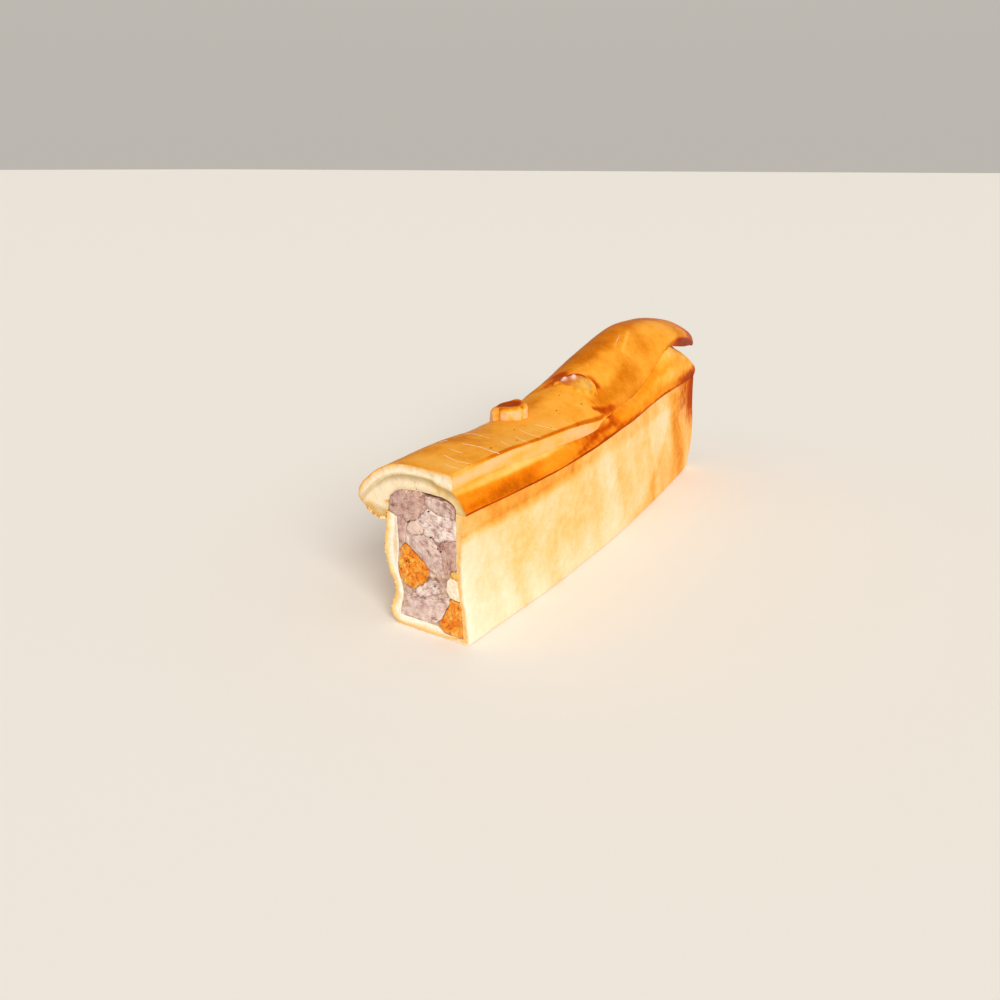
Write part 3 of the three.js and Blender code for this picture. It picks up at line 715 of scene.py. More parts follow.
def filling_ring(s):
    """The inside of the case and the flaps at one station, as evenly spaced points round the filling."""
    s = np.array([[s]], float)
    walls, right, left = case_inner(s)[0], right_flap_inner(s)[0], left_flap_inner(s)[0]
    loop = np.concatenate((walls, right, left[:len(arch_columns)], walls[:1]))
    run = np.r_[0, np.cumsum(np.hypot(*np.diff(loop, axis=0).T))]
    places = np.linspace(0, run[-1], ring_points + 1)
    ring = np.stack([np.interp(places, run, loop[:, axis]) for axis in (0, 1)], -1)
    out = ring - heart
    shrunk = shrunk_from_lid * eased(s[0, 0], 9, 4) * eased(ring[:, 0], -4, 0) * (ring[:, 1] > 66)
    return ring - out / np.hypot(*out.T)[:, None] * (shrunk - 0.05)[:, None]


cut_ring = filling_ring(0)


def inside_ring(section):
    """True for the (u, z) that lie inside the filling's outline at the cut."""
    out = cut_ring[:-1] - heart
    turn = np.arctan2(out[:, 1], out[:, 0])
    order = np.argsort(turn)
    steps = section - heart
    reach = np.interp(
        np.arctan2(steps[..., 1], steps[..., 0]), turn[order], np.hypot(*out[order].T), period=2 * math.pi
    )
    return np.hypot(steps[..., 0], steps[..., 1]) < reach


def oval_axes(oval):
    """The middle of a piece's oval, the way it runs and the way across it."""
    turn = math.radians(oval.tilt)
    run, rise = math.cos(turn), math.sin(turn)
    return np.array((oval.u, oval.z)), np.array((run, rise)), np.array((-rise, run))


def on_cut_face(section):
    """The (u, z) pairs of a section as places on the cut face, to read noise at."""
    return np.insert(section, 1, 0.0, axis=-1)


def oval_shares(section):
    """How far each (u, z) lies from the middle of every piece, as a share of that piece's own oval."""
    flat = on_cut_face(section)
    bent = np.stack([1.5 * noise(flat, 6, seed) + 0.5 * noise(flat, 2, seed + 2) for seed in (41, 42)], -1)
    shares = []
    for oval in filling_pieces.values():
        middle, lengthwise, crosswise = oval_axes(oval)
        steps = section + bent - middle
        shares.append(np.hypot(steps @ lengthwise / oval.long, steps @ crosswise / oval.wide))
    return np.stack(shares, -1)


def in_seam(nearest, second):
    """1 in the narrow seams between two pieces, from how far the two nearest ones are."""
    return eased(second - nearest, 0.3, 0.05) * eased(nearest, 1.45, 1.25)


def forcemeat_grids():
    front = between(cut_ring[:, None], heart, ring_rows[:, None])
    shares = oval_shares(front)
    nearest, second = np.moveaxis(np.sort(shares, -1), -1, 0)[:2]
    depths = np.array([oval.depth for oval in filling_pieces.values()])
    bed = depths[np.argmin(shares, -1)] + 0.3
    flat = on_cut_face(front)
    ragged = 0.25 + 0.5 * in_seam(nearest, second) + 0.25 * noise(flat, 3, 51) + 0.2 * noise(flat, 1.1, 52)
    in_bed = (nearest < 0.75) & (second - nearest > 0.35)
    face = np.where(in_bed, bed, ragged)
    face[:, 0] = set_back
    stations = np.array([set_back, 4, 12, 30, 60, 100, 140, 180, 220, 260, 300, 325, filling_end - 0.4])
    sides = np.stack([cut_ring] + [filling_ring(s) for s in stations[1:]])
    back = between(sides[-1][:, None], np.array((-2.0, 45.0)), np.linspace(0, 1, 6)[:, None])
    return (
        grid_at(front, face, 0.0, 1.0),
        grid_at(sides, stations[:, None]),
        grid_at(back, stations[-1]),
    )


def plain(points):
    return points


def mince_paint(points):
    """Darker in the narrow seams between two pieces: painted shade."""
    nearest, second = np.sort(oval_shares(points[:, (0, 2)]), -1).T[:2]
    return {"seam": in_seam(nearest, second)}


# Minced pork, coarse: brown-grey grains of lean with pale fat between them, moist after cutting.
minced, tree, shader, place, seam = new_material("coarse pork forcemeat", "seam")
grains = add(tree, "TexVoronoi", {"Vector": place, "Scale": 1 / 0.0024})
smear = add(tree, "TexNoise", {"Vector": place, "Scale": 1 / 0.0035, "Detail": 4.0})
lean = add(
    tree, "ValToRGB", (smear,),
    stops=((0.3, "#86604F"), (0.44, "#B89280"), (0.56, "#D2B4A0"), (0.7, "#F0DCC4")),
)
# Painted shade in the seams between pieces.
seam = add(tree, "Math", (seam, 0.4), operation="MULTIPLY")
lean = add(tree, "Mix", {0: seam, 6: lean, 7: colour("#6A483A")}, 2, data_type="RGBA")
uneven = add(tree, "Math", (grains, smear), operation="ADD")
bump = add(tree, "Bump", {"Height": uneven, "Strength": 0.8, "Distance": 0.0006})
feed(shader, {"Base Color": lean, "Roughness": 0.42, "Normal": bump})
forcemeat = closed_piece("forcemeat_mince", forcemeat_grids(), mince_paint, plain)
forcemeat.data.materials.append(minced)
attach(forcemeat, "root")
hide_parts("forcemeat")

# The pieces in the forcemeat. Chunks of pork shoulder cut across or along the grain, two of back
# fat, and dried fruit, all sliced through by the knife, so each has an even face at the cut and a
# rounded back in the loaf.
piece_turns = np.linspace(0, 2 * math.pi, 121)
piece_taper = ((0.0, 1.0), (0.3, 1.0), (0.6, 0.95), (0.85, 0.84), (1.0, 0.62))
piece_front = 1.1
seam_width = 0.06


def piece_grid(oval, number):
    """A piece that fills its oval up to its neighbours, with an uneven face at the cut."""
    middle, lengthwise, crosswise = oval_axes(oval)
    ray = oval.long * np.cos(piece_turns)[:, None] * lengthwise
    ray = ray + oval.wide * np.sin(piece_turns)[:, None] * crosswise
    ray_length = np.hypot(*ray.T)
    steps = np.linspace(0.02, piece_spread, 119)
    places = middle + steps[:, None] * ray[:, None]
    shares = oval_shares(places)
    held = (np.argmin(shares, -1) == number) & (shares[..., number] < piece_spread) & inside_ring(places)
    reach = steps[np.clip(np.argmin(held, 1), 1, None) - 1]
    reach = np.where(held.all(1), piece_spread, reach)
    edge = on_cut_face(middle + reach[:, None] * ray)
    seam = seam_width + 0.9 * np.clip(noise(edge, 4, 64) + 0.5 * noise(edge, 1.5, 65) - 0.15, 0, 0.6)
    reach = reach - seam / 2 / ray_length
    reach[-1] = reach[0]
    out = np.r_[np.linspace(0, 0.8, 20), 0.86, 0.91, 0.95, 0.98, 1.0]
    front = middle + (out[:, None] * reach[:, None, None]) * ray[:, None]
    flat = on_cut_face(front)
    fibres = on_cut_face(pairs(front @ lengthwise / 7, front @ crosswise))
    face = -0.3 * (1 - out**2) + 0.3 * eased(out, 0.9, 1.0) ** 2
    face = face + (0.12 * noise(fibres, 1.0, 61 + number) + 0.45 * noise(flat, 6, 62)) * (out < 0.99)
    face = face + (0.22 * noise(flat, 2.2, 63) + 0.1 * noise(flat, 1.1, 66)) * (out < 0.99)
    face[:, 0] = face[:, 0].mean()
    face[-1] = face[0]
    from_edge = (1 - out) * (reach * ray_length)[:, None]
    rings = [grid_at(front, face, from_edge, 1.0)]
    for back, keep in piece_taper:
        edge = middle + keep * reach[:, None] * ray
        rings.append(grid_at(edge[:, None], piece_front + back * (oval.depth - piece_front)))
    rings.append(grid_at(np.broadcast_to(middle, (len(piece_turns), 1, 2)), oval.depth))
    return np.concatenate(rings, 1)


def piece_paint(oval, tone):
    """How far each place lies along and across the piece's grain, and its tone."""
    middle, lengthwise, crosswise = oval_axes(oval)

    def paint(points):
        steps = points[:, (0, 2)] - middle
        return {
            "along": steps @ lengthwise + 40 * tone,
            "across": steps @ crosswise,
            "tone": np.full(len(points), tone),
            "from_edge": points[:, 3],
        }

    return paint


piece_tones = {
    "pork_top_left": 0.7, "pork_left": 0.6, "pork_top_right": 0.3, "pork_right": -0.12,
    "pork_diagonal": 0.3, "pork_right_low": 0.75, "pork_pale": -0.1, "pork_bottom": 0.25,
    "fat_middle": 0.85, "fruit_yellow": 0.8,
}

# Roast pork: mauve-grey lean with fine pale lines between its fibres, browner near the edge of each piece,
# which also paints shade along the seams between pieces, and satin from its own juices. Small pits are
# darkened with painted shade.
pork, tree, shader, place, along, across, tone, from_edge = new_material(
    "roast pork shoulder", "along", "across", "tone", "from_edge"
)
drawn = add(tree, "Math", (along, 0.25), operation="MULTIPLY")
grain = add(tree, "CombineXYZ", (drawn, across, tone))
fibre = add(tree, "TexNoise", {"Vector": grain, "Scale": 1.2, "Detail": 4.0, "Distortion": 0.5})
cloud = add(tree, "TexNoise", {"Vector": place, "Scale": 1 / 0.0042, "Detail": 6.0, "Roughness": 0.62})
shade = add(tree, "Math", (fibre, 0.5, cloud), operation="MULTIPLY_ADD")
shade = add(tree, "MapRange", (shade, 0.5, 1.0))
lean = add(
    tree, "ValToRGB", (shade,),
    stops=((0.0, "#7E5A54"), (0.25, "#C7A59C"), (0.5, "#EAD2CA"), (0.75, "#F6E6DE"), (1.0, "#FFF9F4")),
)
warm = add(tree, "Mix", {0: tone, 6: colour("#FFFFFF"), 7: colour("#C69C8C")}, 2, data_type="RGBA")
lean = add(tree, "Mix", {0: 1.0, 6: lean, 7: warm}, 2, data_type="RGBA", blend_type="MULTIPLY")
blush = add(tree, "TexNoise", {"Vector": place, "Scale": 1 / 0.009, "Detail": 2.0})
blush = add(tree, "MapRange", (blush, 0.52, 0.75, 0.0, 0.4))
strand = add(tree, "TexNoise", {"Vector": grain, "Scale": 0.5, "Detail": 3.0, "Distortion": 0.9})
strand = add(tree, "Math", (strand, 0.5), operation="SUBTRACT")
strand = add(tree, "Math", (strand,), operation="ABSOLUTE")
strand = add(tree, "MapRange", (strand, 0.0, 0.02, 0.35, 0.0))
# Browner near each piece's edge, which is also painted shade along the seams.
worn = add(tree, "Math", (cloud, 2.4, -1.2), operation="MULTIPLY_ADD")
worn = add(tree, "Math", (worn, from_edge), operation="ADD")
rim = add(tree, "MapRange", (worn, -0.6, 0.5, 0.5, 0.0))
# Painted shade in small pits.
pores = add(tree, "TexVoronoi", {"Vector": place, "Scale": 1 / 0.0026})
pits = add(tree, "MapRange", (pores, 0.06, 0.18, 0.6, 0.0))
torn = add(tree, "TexNoise", {"Vector": place, "Scale": 1 / 0.007, "Detail": 1.0})
torn = add(tree, "MapRange", (torn, 0.48, 0.6))
pits = add(tree, "Math", (pits, torn), operation="MULTIPLY")
for share, tint in ((blush, "#B5888C"), (strand, "#F6ECE6"), (rim, "#8A6656"), (pits, "#5C4038")):
    lean = add(tree, "Mix", {0: share, 6: lean, 7: colour(tint)}, 2, data_type="RGBA")
relief = add(tree, "Math", (shade, pits), operation="SUBTRACT")
bump = add(tree, "Bump", {"Height": relief, "Strength": 0.9, "Distance": 0.0006})
feed(shader, {"Base Color": lean, "Roughness": 0.24, "Normal": bump})

# Back fat: waxy white with a cream cast, a little shiny.
fat, tree, shader, place, tone = new_material("pork back fat", "tone")
cloud = add(tree, "TexNoise", {"Vector": place, "Scale": 1 / 0.0022, "Detail": 5.0, "Roughness": 0.65})
waxy = add(tree, "ValToRGB", (cloud,), stops=((0.3, "#E2C6A0"), (0.5, "#F8E6CC"), (0.7, "#FFF6E8")))
pinkish = add(tree, "Mix", {0: tone, 6: waxy, 7: colour("#DCBDB2")}, 2, data_type="RGBA")
bump = add(tree, "Bump", {"Height": cloud, "Strength": 0.5, "Distance": 0.0005})
feed(shader, {"Base Color": pinkish, "Roughness": 0.35, "Normal": bump})

# Dried fruit, softened in the baking: deep orange flesh with yellow flecks and a darker skin.
fruit, tree, shader, place, tone, from_edge = new_material("dried apricot, soaked", "tone", "from_edge")
cloud = add(tree, "TexNoise", {"Vector": place, "Scale": 1 / 0.0034, "Detail": 6.0, "Distortion": 0.8})
bent = add(tree, "TexNoise", {"Vector": place, "Scale": 1 / 0.002, "Detail": 3.0}, "Color")
bent = add(tree, "VectorMath", (bent, (0.003, 0.003, 0.003), place), operation="MULTIPLY_ADD")
facets = add(tree, "TexVoronoi", {"Vector": bent, "Scale": 1 / 0.0036})
facet = add(tree, "SeparateColor", (facets.node.outputs["Color"],))
facet = add(tree, "Math", (facet, 0.26, -0.13), operation="MULTIPLY_ADD")
shade = add(tree, "Math", (cloud, facet), operation="ADD")
flesh = add(
    tree, "ValToRGB", (shade,),
    stops=(
        (0.2, "#7A3206"), (0.34, "#E0720A"), (0.46, "#F6921A"),
        (0.56, "#F8A038"), (0.66, "#FAB254"), (0.76, "#FFD058"),
    ),
)
creases = add(tree, "TexVoronoi", {"Vector": bent, "Scale": 1 / 0.0036}, feature="DISTANCE_TO_EDGE")
creases = add(tree, "MapRange", (creases, 0.0, 0.08, 0.3, 0.0))
rim = add(tree, "MapRange", (from_edge, 0.0, 0.7, 0.65, 0.0))
for share, tint in ((creases, "#8E3C06"), (tone, "#F9C455"), (rim, "#8A3A06")):
    flesh = add(tree, "Mix", {0: share, 6: flesh, 7: colour(tint)}, 2, data_type="RGBA")
relief = add(tree, "Math", (facets, -0.6, shade), operation="MULTIPLY_ADD")
bump = add(tree, "Bump", {"Height": relief, "Strength": 1.0, "Distance": 0.0014})
feed(shader, {"Base Color": flesh, "Roughness": 0.28, "Specular IOR Level": 0.2, "Normal": bump})
feed(shader, {
    "Subsurface Weight": 0.12, "Subsurface Radius": (0.003, 0.0012, 0.0004), "Subsurface Scale": 1.0,
})

piece_flesh = {"pork": pork, "fat": fat, "fruit": fruit}
for number, (node, oval) in enumerate(filling_pieces.items()):
    kind = node.split("_")[0]
    paint = piece_paint(oval, piece_tones.get(node, 0.0))
    chunk = closed_piece(node + "_chunk", (piece_grid(oval, number),), paint, plain)
    chunk.data.materials.append(piece_flesh[kind])
    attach(chunk, "root")
    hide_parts(node)

# The lid. A second sheet of shortcrust laid over the flaps and brushed twice with egg: it droops
# over the left side, is cut straight along the right, rises to a hump behind the far chimney and
# ends in a beak that stands free of the far end.
sheet_end = 352.0
beak_reach = 5.0
beak_side = 18.0
beak_start = 290.0
tip_start = 0.93
nose = 5.0
nose_side = 19.0
nose_corner = 7.0
near_edge = np.array([0, 0.004, 0.009, 0.015, 0.022, 0.03, 0.04])
near_tip = 1 - (1 - tip_start) * np.array([0.8, 0.6, 0.42, 0.27, 0.15, 0.06, 0])
sheet_columns = np.r_[near_edge, np.linspace(0.052, tip_start, 68), near_tip]
near_nose = sheet_end - nose * np.array([1, 0.8, 0.62, 0.45, 0.3, 0.18, 0.08, 0.02, 0])
sheet_stations = np.r_[0, 0.4, 0.9, 1.6, 2.5, 3.6, np.arange(5, 345, 1.5), near_nose]
through_sheet = np.array([0, 0.06, 0.14, 0.25, 0.4, 0.58, 0.75, 0.9, 1])


def crease_in_lid(u, s):
    """The valley where the lid folds up to the hump, through the far chimney."""
    line = between(154.3 + 0.67 * u, 143 + 0.8 * u, eased(u, 0, 8))
    width = between(3.4, 5.0, eased(u, 2, 10))
    return hill(s, line, width) * eased(u, -36, -24) * between(1, 0.45, eased(u, 2, 10))


def lid_height(u, s):
    """The lid's face with its crease and its right edge, which is rounder behind the fold."""
    rounded = rounded_end(u, sheet_edge_side(s) + 0.02, between(1.3, 3.0, eased(s, 142, 166)))
    valley = 1.4 * eased(np.hypot(u + 1, s - 155), 8, 19)
    return sheet_top(u, s) - valley * crease_in_lid(u, s) - rounded


def sheet_faces(s):
    """The lid's upper and lower faces, drawn together at the drooping tip and at the nose of the beak."""
    side = between(sheet_edge_side(s), sheet_tip_side(s), sheet_columns)
    top = pairs(side, lid_height(side, s))
    under = under_sheet(side, s, sheet_depth(side, s), upright_edge(s) + eased(s, 268, 298))
    tip = np.clip((sheet_columns - tip_start) / (1 - tip_start), 0, 1)
    front = np.clip((s - (sheet_end - nose)) / nose, 0, 1)
    nose_pinch = 0.49 * (1 - np.sqrt(1 - front**2))[..., None]
    tip_pinch = 0.85 * (1 - np.sqrt(1 - tip**2))[:, None]
    top = between(top, under, np.maximum(nose_pinch, tip_pinch))
    return top, between(under, top, np.minimum(nose_pinch * 1.9, 0.96))


def beak(points):
    """The lid's far end slants: its right corner reaches further than its left, and is rounded."""
    moved = points.copy()
    far = eased(points[:, 1], beak_start, sheet_end)
    slant = beak_reach * np.clip(points[:, 0] / beak_side, -1, 1)
    corner = rounded_end(np.minimum(points[:, 0], nose_side), nose_side, nose_corner)
    moved[:, 1] += far * (slant - corner)
    return hand_made(moved)


juice_line = smooth_through((140, 12.0), (148.5, 13.8), (154, 15.5), (163, 16.9), (172, 17.8), (190, 19))


def sheet_paint(points):
    """Golden glaze, browner to the left, which is partly painted shade on the side away from the light, and
    along the right edge; a painted highlight on the right of the hump; peach where that edge was cut;
    red-brown where juices ran into the fold; and painted shade in the groove behind the fold, in the crescent
    behind the far chimney's hole and under the beak."""
    u, s, z, depth, fresh = points.T
    place = points[:, :3]
    below = sheet_top(u, s) - z
    edge_side = sheet_edge_side(s)
    bake = 0.34 + 0.1 * noise(place, 34, 31) + 0.09 * noise(place, 11, 33)
    # Darker to the left: partly browner baking, partly painted shade on the side away from the light.
    bake += 0.12 * eased(u, -2, -13) + 0.06 * eased(u, -14, -34) + 0.1 * eased(s, 150, 180)
    # Painted shade on the hump's left flank.
    bake += 0.3 * eased(u, 4, -8) * eased(u, -34, -16) * eased(s, 160, 190)
    # A painted highlight: paler on the right of the hump.
    bake -= 0.1 * eased(np.hypot(u - 11, 0.3 * (s - 262)), 9, 2)
    bake += 0.25 * hill(u, 13, 5) * eased(s, 150, 160) * eased(s, 235, 178)
    cut_edge = (u > edge_side - 0.5) * eased(below, 1.0, 1.6) * eased(s, 158, 146)
    bake = between(bake, 0.13 + 0.16 * noise(place * (1, 0.2, 1), 3, 35) - 0.06 * eased(s, 90, 125), cut_edge)
    line = eased(u, edge_side - 1.8, edge_side - 0.6) * eased(below, 1.5, 0.8)
    line = line * eased(s, 10, 40) * between(1, 0.1, eased(s, 150, 170))
    bake = np.minimum(bake, 0.66) + 0.4 * line
    # Painted shade in the groove below the rounded edge behind the fold.
    groove = eased(u, edge_side - 3.5, edge_side - 0.3) * eased(below, 0.8, 2.6) * eased(s, 158, 180)
    bake += 0.3 * groove
    left_of_hole = eased(np.hypot(u + 13, 0.8 * (s - 152)), 14, 4)
    # Painted shade: the dark crescent behind the far chimney's hole.
    behind_hole = eased(np.hypot(u - 5.5, s - 165), 9, 2)
    at_tongue = hill(u, juice_line(s), 1.7) * eased(s, 143, 150) * eased(s, 190, 164)
    around = hill(u, juice_line(s) - 4, 5) * eased(s, 146, 153) * eased(s, 195, 168)
    fold_line = hill(s, 143 + 0.8 * u, 2.4) * eased(u, 3, 7) * eased(u, 16, 12)
    juice_and_shade = 0.62 * left_of_hole + 0.5 * behind_hole + 0.45 * at_tongue
    juice_and_shade += 0.12 * around + 0.2 * fold_line + 0.36 * line
    # The beak's nose and right side are brown where baked; under the beak the same mark is painted shade.
    at_nose = eased(np.hypot(u - 17, 0.45 * (s - 348)), 17, 4)
    nose_under = np.maximum(eased(s, 268, 305) * eased(below, 0.8, 3.2) * eased(u, -14, 0), 0.7 * at_nose)
    uneven = 0.8 + 0.35 * noise(place, 7, 37) + 0.2 * noise(place, 3, 38)
    stain = uneven * np.maximum(0.3 * crease_in_lid(u, s), juice_and_shade) + 0.7 * nose_under
    tongue = eased(s, 152, 162) * eased(s, 186, 172) * eased(below, 1.0, 2.5) * (u > edge_side - 1)
    damp = fresh * 0.7 * eased(below, sheet_depth(u, s) - 1.4, sheet_depth(u, s))
    streak = hill(u, 2 + 0.22 * (229 - s), 0.9) * eased(s, 212, 220) * eased(s, 245, 236)
    bake -= 0.2 * streak
    stain = np.maximum(stain, 0.9 * tongue)
    return {"depth": depth, "fresh": fresh, "bake": bake, "stain": stain, "damp": damp}


# Shortcrust with two coats of egg wash: a thin, hard, golden-orange glaze, browner where it is thick.
glazed_crust = shortcrust(
    "egg-washed shortcrust",
    skin=(
        (0.0, "#F8C088"), (0.2, "#F5B34E"), (0.38, "#EFA032"),
        (0.58, "#D47C14"), (0.8, "#B45804"), (1.0, "#743004"),
    ),
    crumb=((0.0, "#E6B05C"), (0.35, "#F0D09C"), (0.8, "#F6E0BC"), (1.0, "#FAEACE")),
    damp="#D2B680",
    gloss=0.28,
    shine=0.006,
    grain=0.1,
    skin_reach=3.2,
)
outer, inner = sheet_faces(sheet_stations[:, None])
skin = np.ones(outer.shape[1], bool)
layers = slab(outer, inner, sheet_stations, through_sheet, skin)
top_sheet = closed_piece("top_sheet_crust", layers, sheet_paint, beak)
top_sheet.data.materials.append(glazed_crust)
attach(top_sheet, "root")
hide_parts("top_sheet")

# Cracks in the glaze. The lid dried out as it cooled, and its glaze split in hairlines that run
# from the right edge towards the crest and show the pale dough below.
cracks = (
    (0.42, (-5.3, 37.6), (3.7, 38.4), (11.6, 37.2), (15.2, 37.0), (16.9, 37.7)),
    (0.22, (-7.1, 28.1), (-2, 26.6), (2.9, 26.0)),
    (0.26, (-4.9, 20.3), (1, 17.6), (6.2, 16.1), (15.4, 16.4)),
    (0.2, (-17.9, 55.2), (-11, 56.2), (-5.7, 55.8), (-0.1, 54.3)),
    (0.28, (6.5, 55.7), (8.5, 53.2), (10, 52.3), (16.3, 50.5)),
    (0.28, (2.7, 78.7), (8, 76.9), (13, 76.2), (17.5, 76.4)),
    (0.2, (7.1, 67.7), (12.3, 64.7), (17.3, 63.4)),
    (0.18, (5.3, 91.8), (9.8, 92.8), (17.3, 95.7)),
    (0.2, (-18.5, 35.6), (-17.5, 38), (-16.2, 40.1)),
    (0.16, (4, 10.5), (9, 8.2), (14, 8.6)),
    (0.16, (-2.6, 230), (-1.4, 222), (0.5, 214)),
)


def drawn_through(places, steps):
    """The two measures of a smooth line through a few places, with that many steps from one to the next."""
    count = np.arange(len(places))
    fine = np.linspace(0, count[-1], steps * count[-1] + 1)
    return [smooth_through(*zip(count, column))(fine) for column in np.array(places, float).T]


def crack_grid(width, *places):
    """A hairline along the lid: a sliver with a low ridge, bedded in the glaze and closed at its ends."""
    u, s = drawn_through(places, 14)
    line = np.stack((u, s, 0 * u), -1)
    u = u + 0.25 * noise(line, 1.7, 81)
    s = s + 0.35 * noise(line, 2.3, 82)
    taper = np.sqrt(1 - np.linspace(-1, 1, len(u)) ** 4)
    half = 0.75 * width * taper * (0.75 + 0.35 * noise(line, 1.3, 83))
    ahead = pairs(np.gradient(u), np.gradient(s))
    ahead /= np.hypot(*ahead.T)[:, None]
    around = ((-1, -0.3), (-1, 0.02), (0, 0.09), (1, 0.02), (1, -0.3), (-1, -0.3))
    points = []
    for side, up in around:
        u_side = u - side * half * ahead[:, 1]
        s_side = s + side * half * ahead[:, 0]
        points.append(np.stack((u_side, s_side, lid_height(u_side, s_side) + up, 0 * u, 0 * u), -1))
    return np.stack(points, 1)


def crack_paint(points):
    blank = np.zeros(len(points))
    return {"depth": blank, "fresh": blank, "bake": blank + 0.1, "stain": blank, "damp": blank}


glaze_cracks = closed_piece("glaze_cracks", [crack_grid(*crack) for crack in cracks], crack_paint)
glaze_cracks.data.materials.append(pale_crust)
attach(glaze_cracks, "root")

# The two chimneys. Rings of pastry set over the steam holes before baking: the near one is a tall
# scalloped collar with a hollow, the far one a low ring round a hole that was filled with jelly.
Spot = collections.namedtuple("Spot", "u s radius along slant height")
near_chimney = Spot(u=-15.3, s=98, radius=11.2, along=0.85, slant=0.0, height=7.3)
far_chimney = Spot(u=-1.2, s=155, radius=10.0, along=0.85, slant=0.5, height=2.6)
foot_depth = -1.5
# Each crease in the near collar as its turn round the ring, its depth as a share of the radius and
# its width as a turn.
pinches = (
    (4.54, 0.16, 0.15), (6.0, 0.08, 0.12), (5.35, 0.04, 0.12),
    (0.9, 0.1, 0.16), (2.4, 0.12, 0.18), (3.3, 0.1, 0.14),
)


def pinched(turn):
    return sum(deep * hill(turn, middle, wide) for middle, deep, wide in pinches)


def round_hole(turn):
    """A loop of places to read noise at, so that an outline closes on itself."""
    return np.stack((4 * np.cos(turn), 4 * np.sin(turn), 0 * turn), -1)


def ring_grid(spot, radius, turn, up):
    """A grid turned round a chimney's middle, slanting as its hole does, that far above the lid."""
    u = spot.u + radius * np.cos(turn)
    s = spot.s + radius * np.sin(turn) * spot.along + spot.slant * (u - spot.u)
    z = sheet_top(u, s) + up(u, s)
    u[-1], s[-1], z[-1] = u[0], s[0], z[0]
    return grid_at(pairs(u, z), s)


def collar(spot, foot_out, profile, creased, uneven):
    """A ring on the lid from half its profile: (share of the radius, share of the height) pairs, up
    from a foot that reaches foot_out of the radius. Creased says how deep its pinches go, and uneven
    how far its outline wanders, as a share of it."""
    foot = foot_depth / spot.height
    out, up = drawn_through(((foot_out, foot), *profile), 8)
    out = np.r_[0, out] * spot.radius
    up = np.r_[foot, up] * spot.height
    turn = np.linspace(0, 2 * math.pi, 181)[:, None]
    outside = eased(out / spot.radius, 0.5, 0.95)
    wander = uneven * noise(round_hole(turn), 2.2, 73)
    rough = round_hole(turn) * (2.25, 2.25, 0) + up[:, None] * (0, 0, 1)
    radius = out * (1 + wander - creased * (pinched(turn) + 0.035 * noise(rough, 2.4, 75)) * outside)
    rise = 1 + 0.09 * noise(round_hole(turn), 2.0, 74) * outside
    return ring_grid(spot, radius, turn, lambda u, s: up * rise)


def collar_paint(spot, hollow, hollow_stain, side_bake, rim_bake, crease_bake, behind):
    """Baked on top, with painted shade in the hollow and in the creases of the sides, and red-brown at the
    back and left where juices ran out.
    """

    def paint(points):
        u, s, z, depth, fresh = points.T
        place = points[:, :3]
        ahead = (s - spot.s - spot.slant * (u - spot.u)) / spot.along
        out = np.hypot(u - spot.u, ahead) / spot.radius
        turn = np.arctan2(ahead, u - spot.u) % (2 * math.pi)
        up = (z - sheet_top(u, s)) / spot.height
        bake = side_bake + 0.14 * noise(place, 4, 71) + 0.24 * np.clip(noise(place, 2.2, 72), -0.3, 1)
        bake += rim_bake * eased(up, 0.6, 0.95)
        # Painted shade in the pinched creases of the collar's sides.
        bake += crease_bake * pinched(turn) * eased(out, 0.6, 0.75)
        # Painted shade in the hollow.
        stain = hollow_stain * eased(out, hollow + 0.32, hollow - 0.25)
        stain += behind * eased(ahead - (u - spot.u), 0, 10)
        return {"depth": depth, "fresh": fresh, "bake": bake, "stain": stain, "damp": 0 * stain}

    return paint


near_profile = (
    (1.01, 0.3), (1.0, 0.66), (0.93, 0.88), (0.78, 1), (0.6, 0.95), (0.45, 0.9), (0.2, 0.86), (0, 0.86),
)
near_ring = closed_piece(
    "chimney_near_collar",
    (collar(near_chimney, 1, near_profile, creased=1.0, uneven=0.04),),
    collar_paint(
        near_chimney, hollow=0.7, hollow_stain=0.6, side_bake=0.0, rim_bake=0.42, crease_bake=1.3, behind=0.0
    ),
)
far_profile = ((1.16, -0.1), (1.04, 0.14), (0.94, 0.26), (0.88, 0.26), (0.82, 0.2), (0.6, 0.1), (0, 0.1))
far_ring = closed_piece(
    "chimney_far_collar",
    (collar(far_chimney, 1.2, far_profile, creased=0.0, uneven=0.08),),
    collar_paint(
        far_chimney, hollow=0.75, hollow_stain=0.55, side_bake=0.4, rim_bake=0.0, crease_bake=0.0, behind=0.4
    ),
)
for ring, node in ((near_ring, "chimney_near"), (far_ring, "chimney_far")):
    ring.data.materials.append(glazed_crust)
    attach(ring, "root")
    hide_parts(node)

# The jelly. Stock poured through the far chimney after baking and set level with its rim: clear
# amber, wet and lightly domed.
def jelly_paint(points):
    """Clear at the right, and painted pale highlights on the two lumps at the left."""
    u, s = points[:, 0], points[:, 1]
    film = hill(np.hypot(u + 7.6, s - 151), 0, 1.9) + hill(np.hypot(u + 3.2, s - 155.5), 0, 1.7)
    return {"clear": eased(u, -4, 3), "film": film}


jelly_reach = 8.7
jelly_rise = 1.0
jelly_floor = -0.2
jelly_lumps = (
    (3.2, 156.5, 4.4, 2.6), (-7.4, 152.0, 2.6, 1.7), (-3.2, 156.5, 2.6, 1.9), (-1.5, 150.5, 2.2, 0.5),
)
jelly_turn = np.linspace(0, 2 * math.pi, 97)[:, None]
jelly_out = np.r_[0, np.linspace(0, 1, 9)[1:], np.cos(np.linspace(0, math.pi / 2, 25))[1:]]
jelly_up = np.r_[np.zeros(9), np.sin(np.linspace(0, math.pi / 2, 25))[1:] ** 0.6]
jelly_radius = jelly_reach * jelly_out * (1 + 0.08 * noise(round_hole(jelly_turn), 2.2, 73))


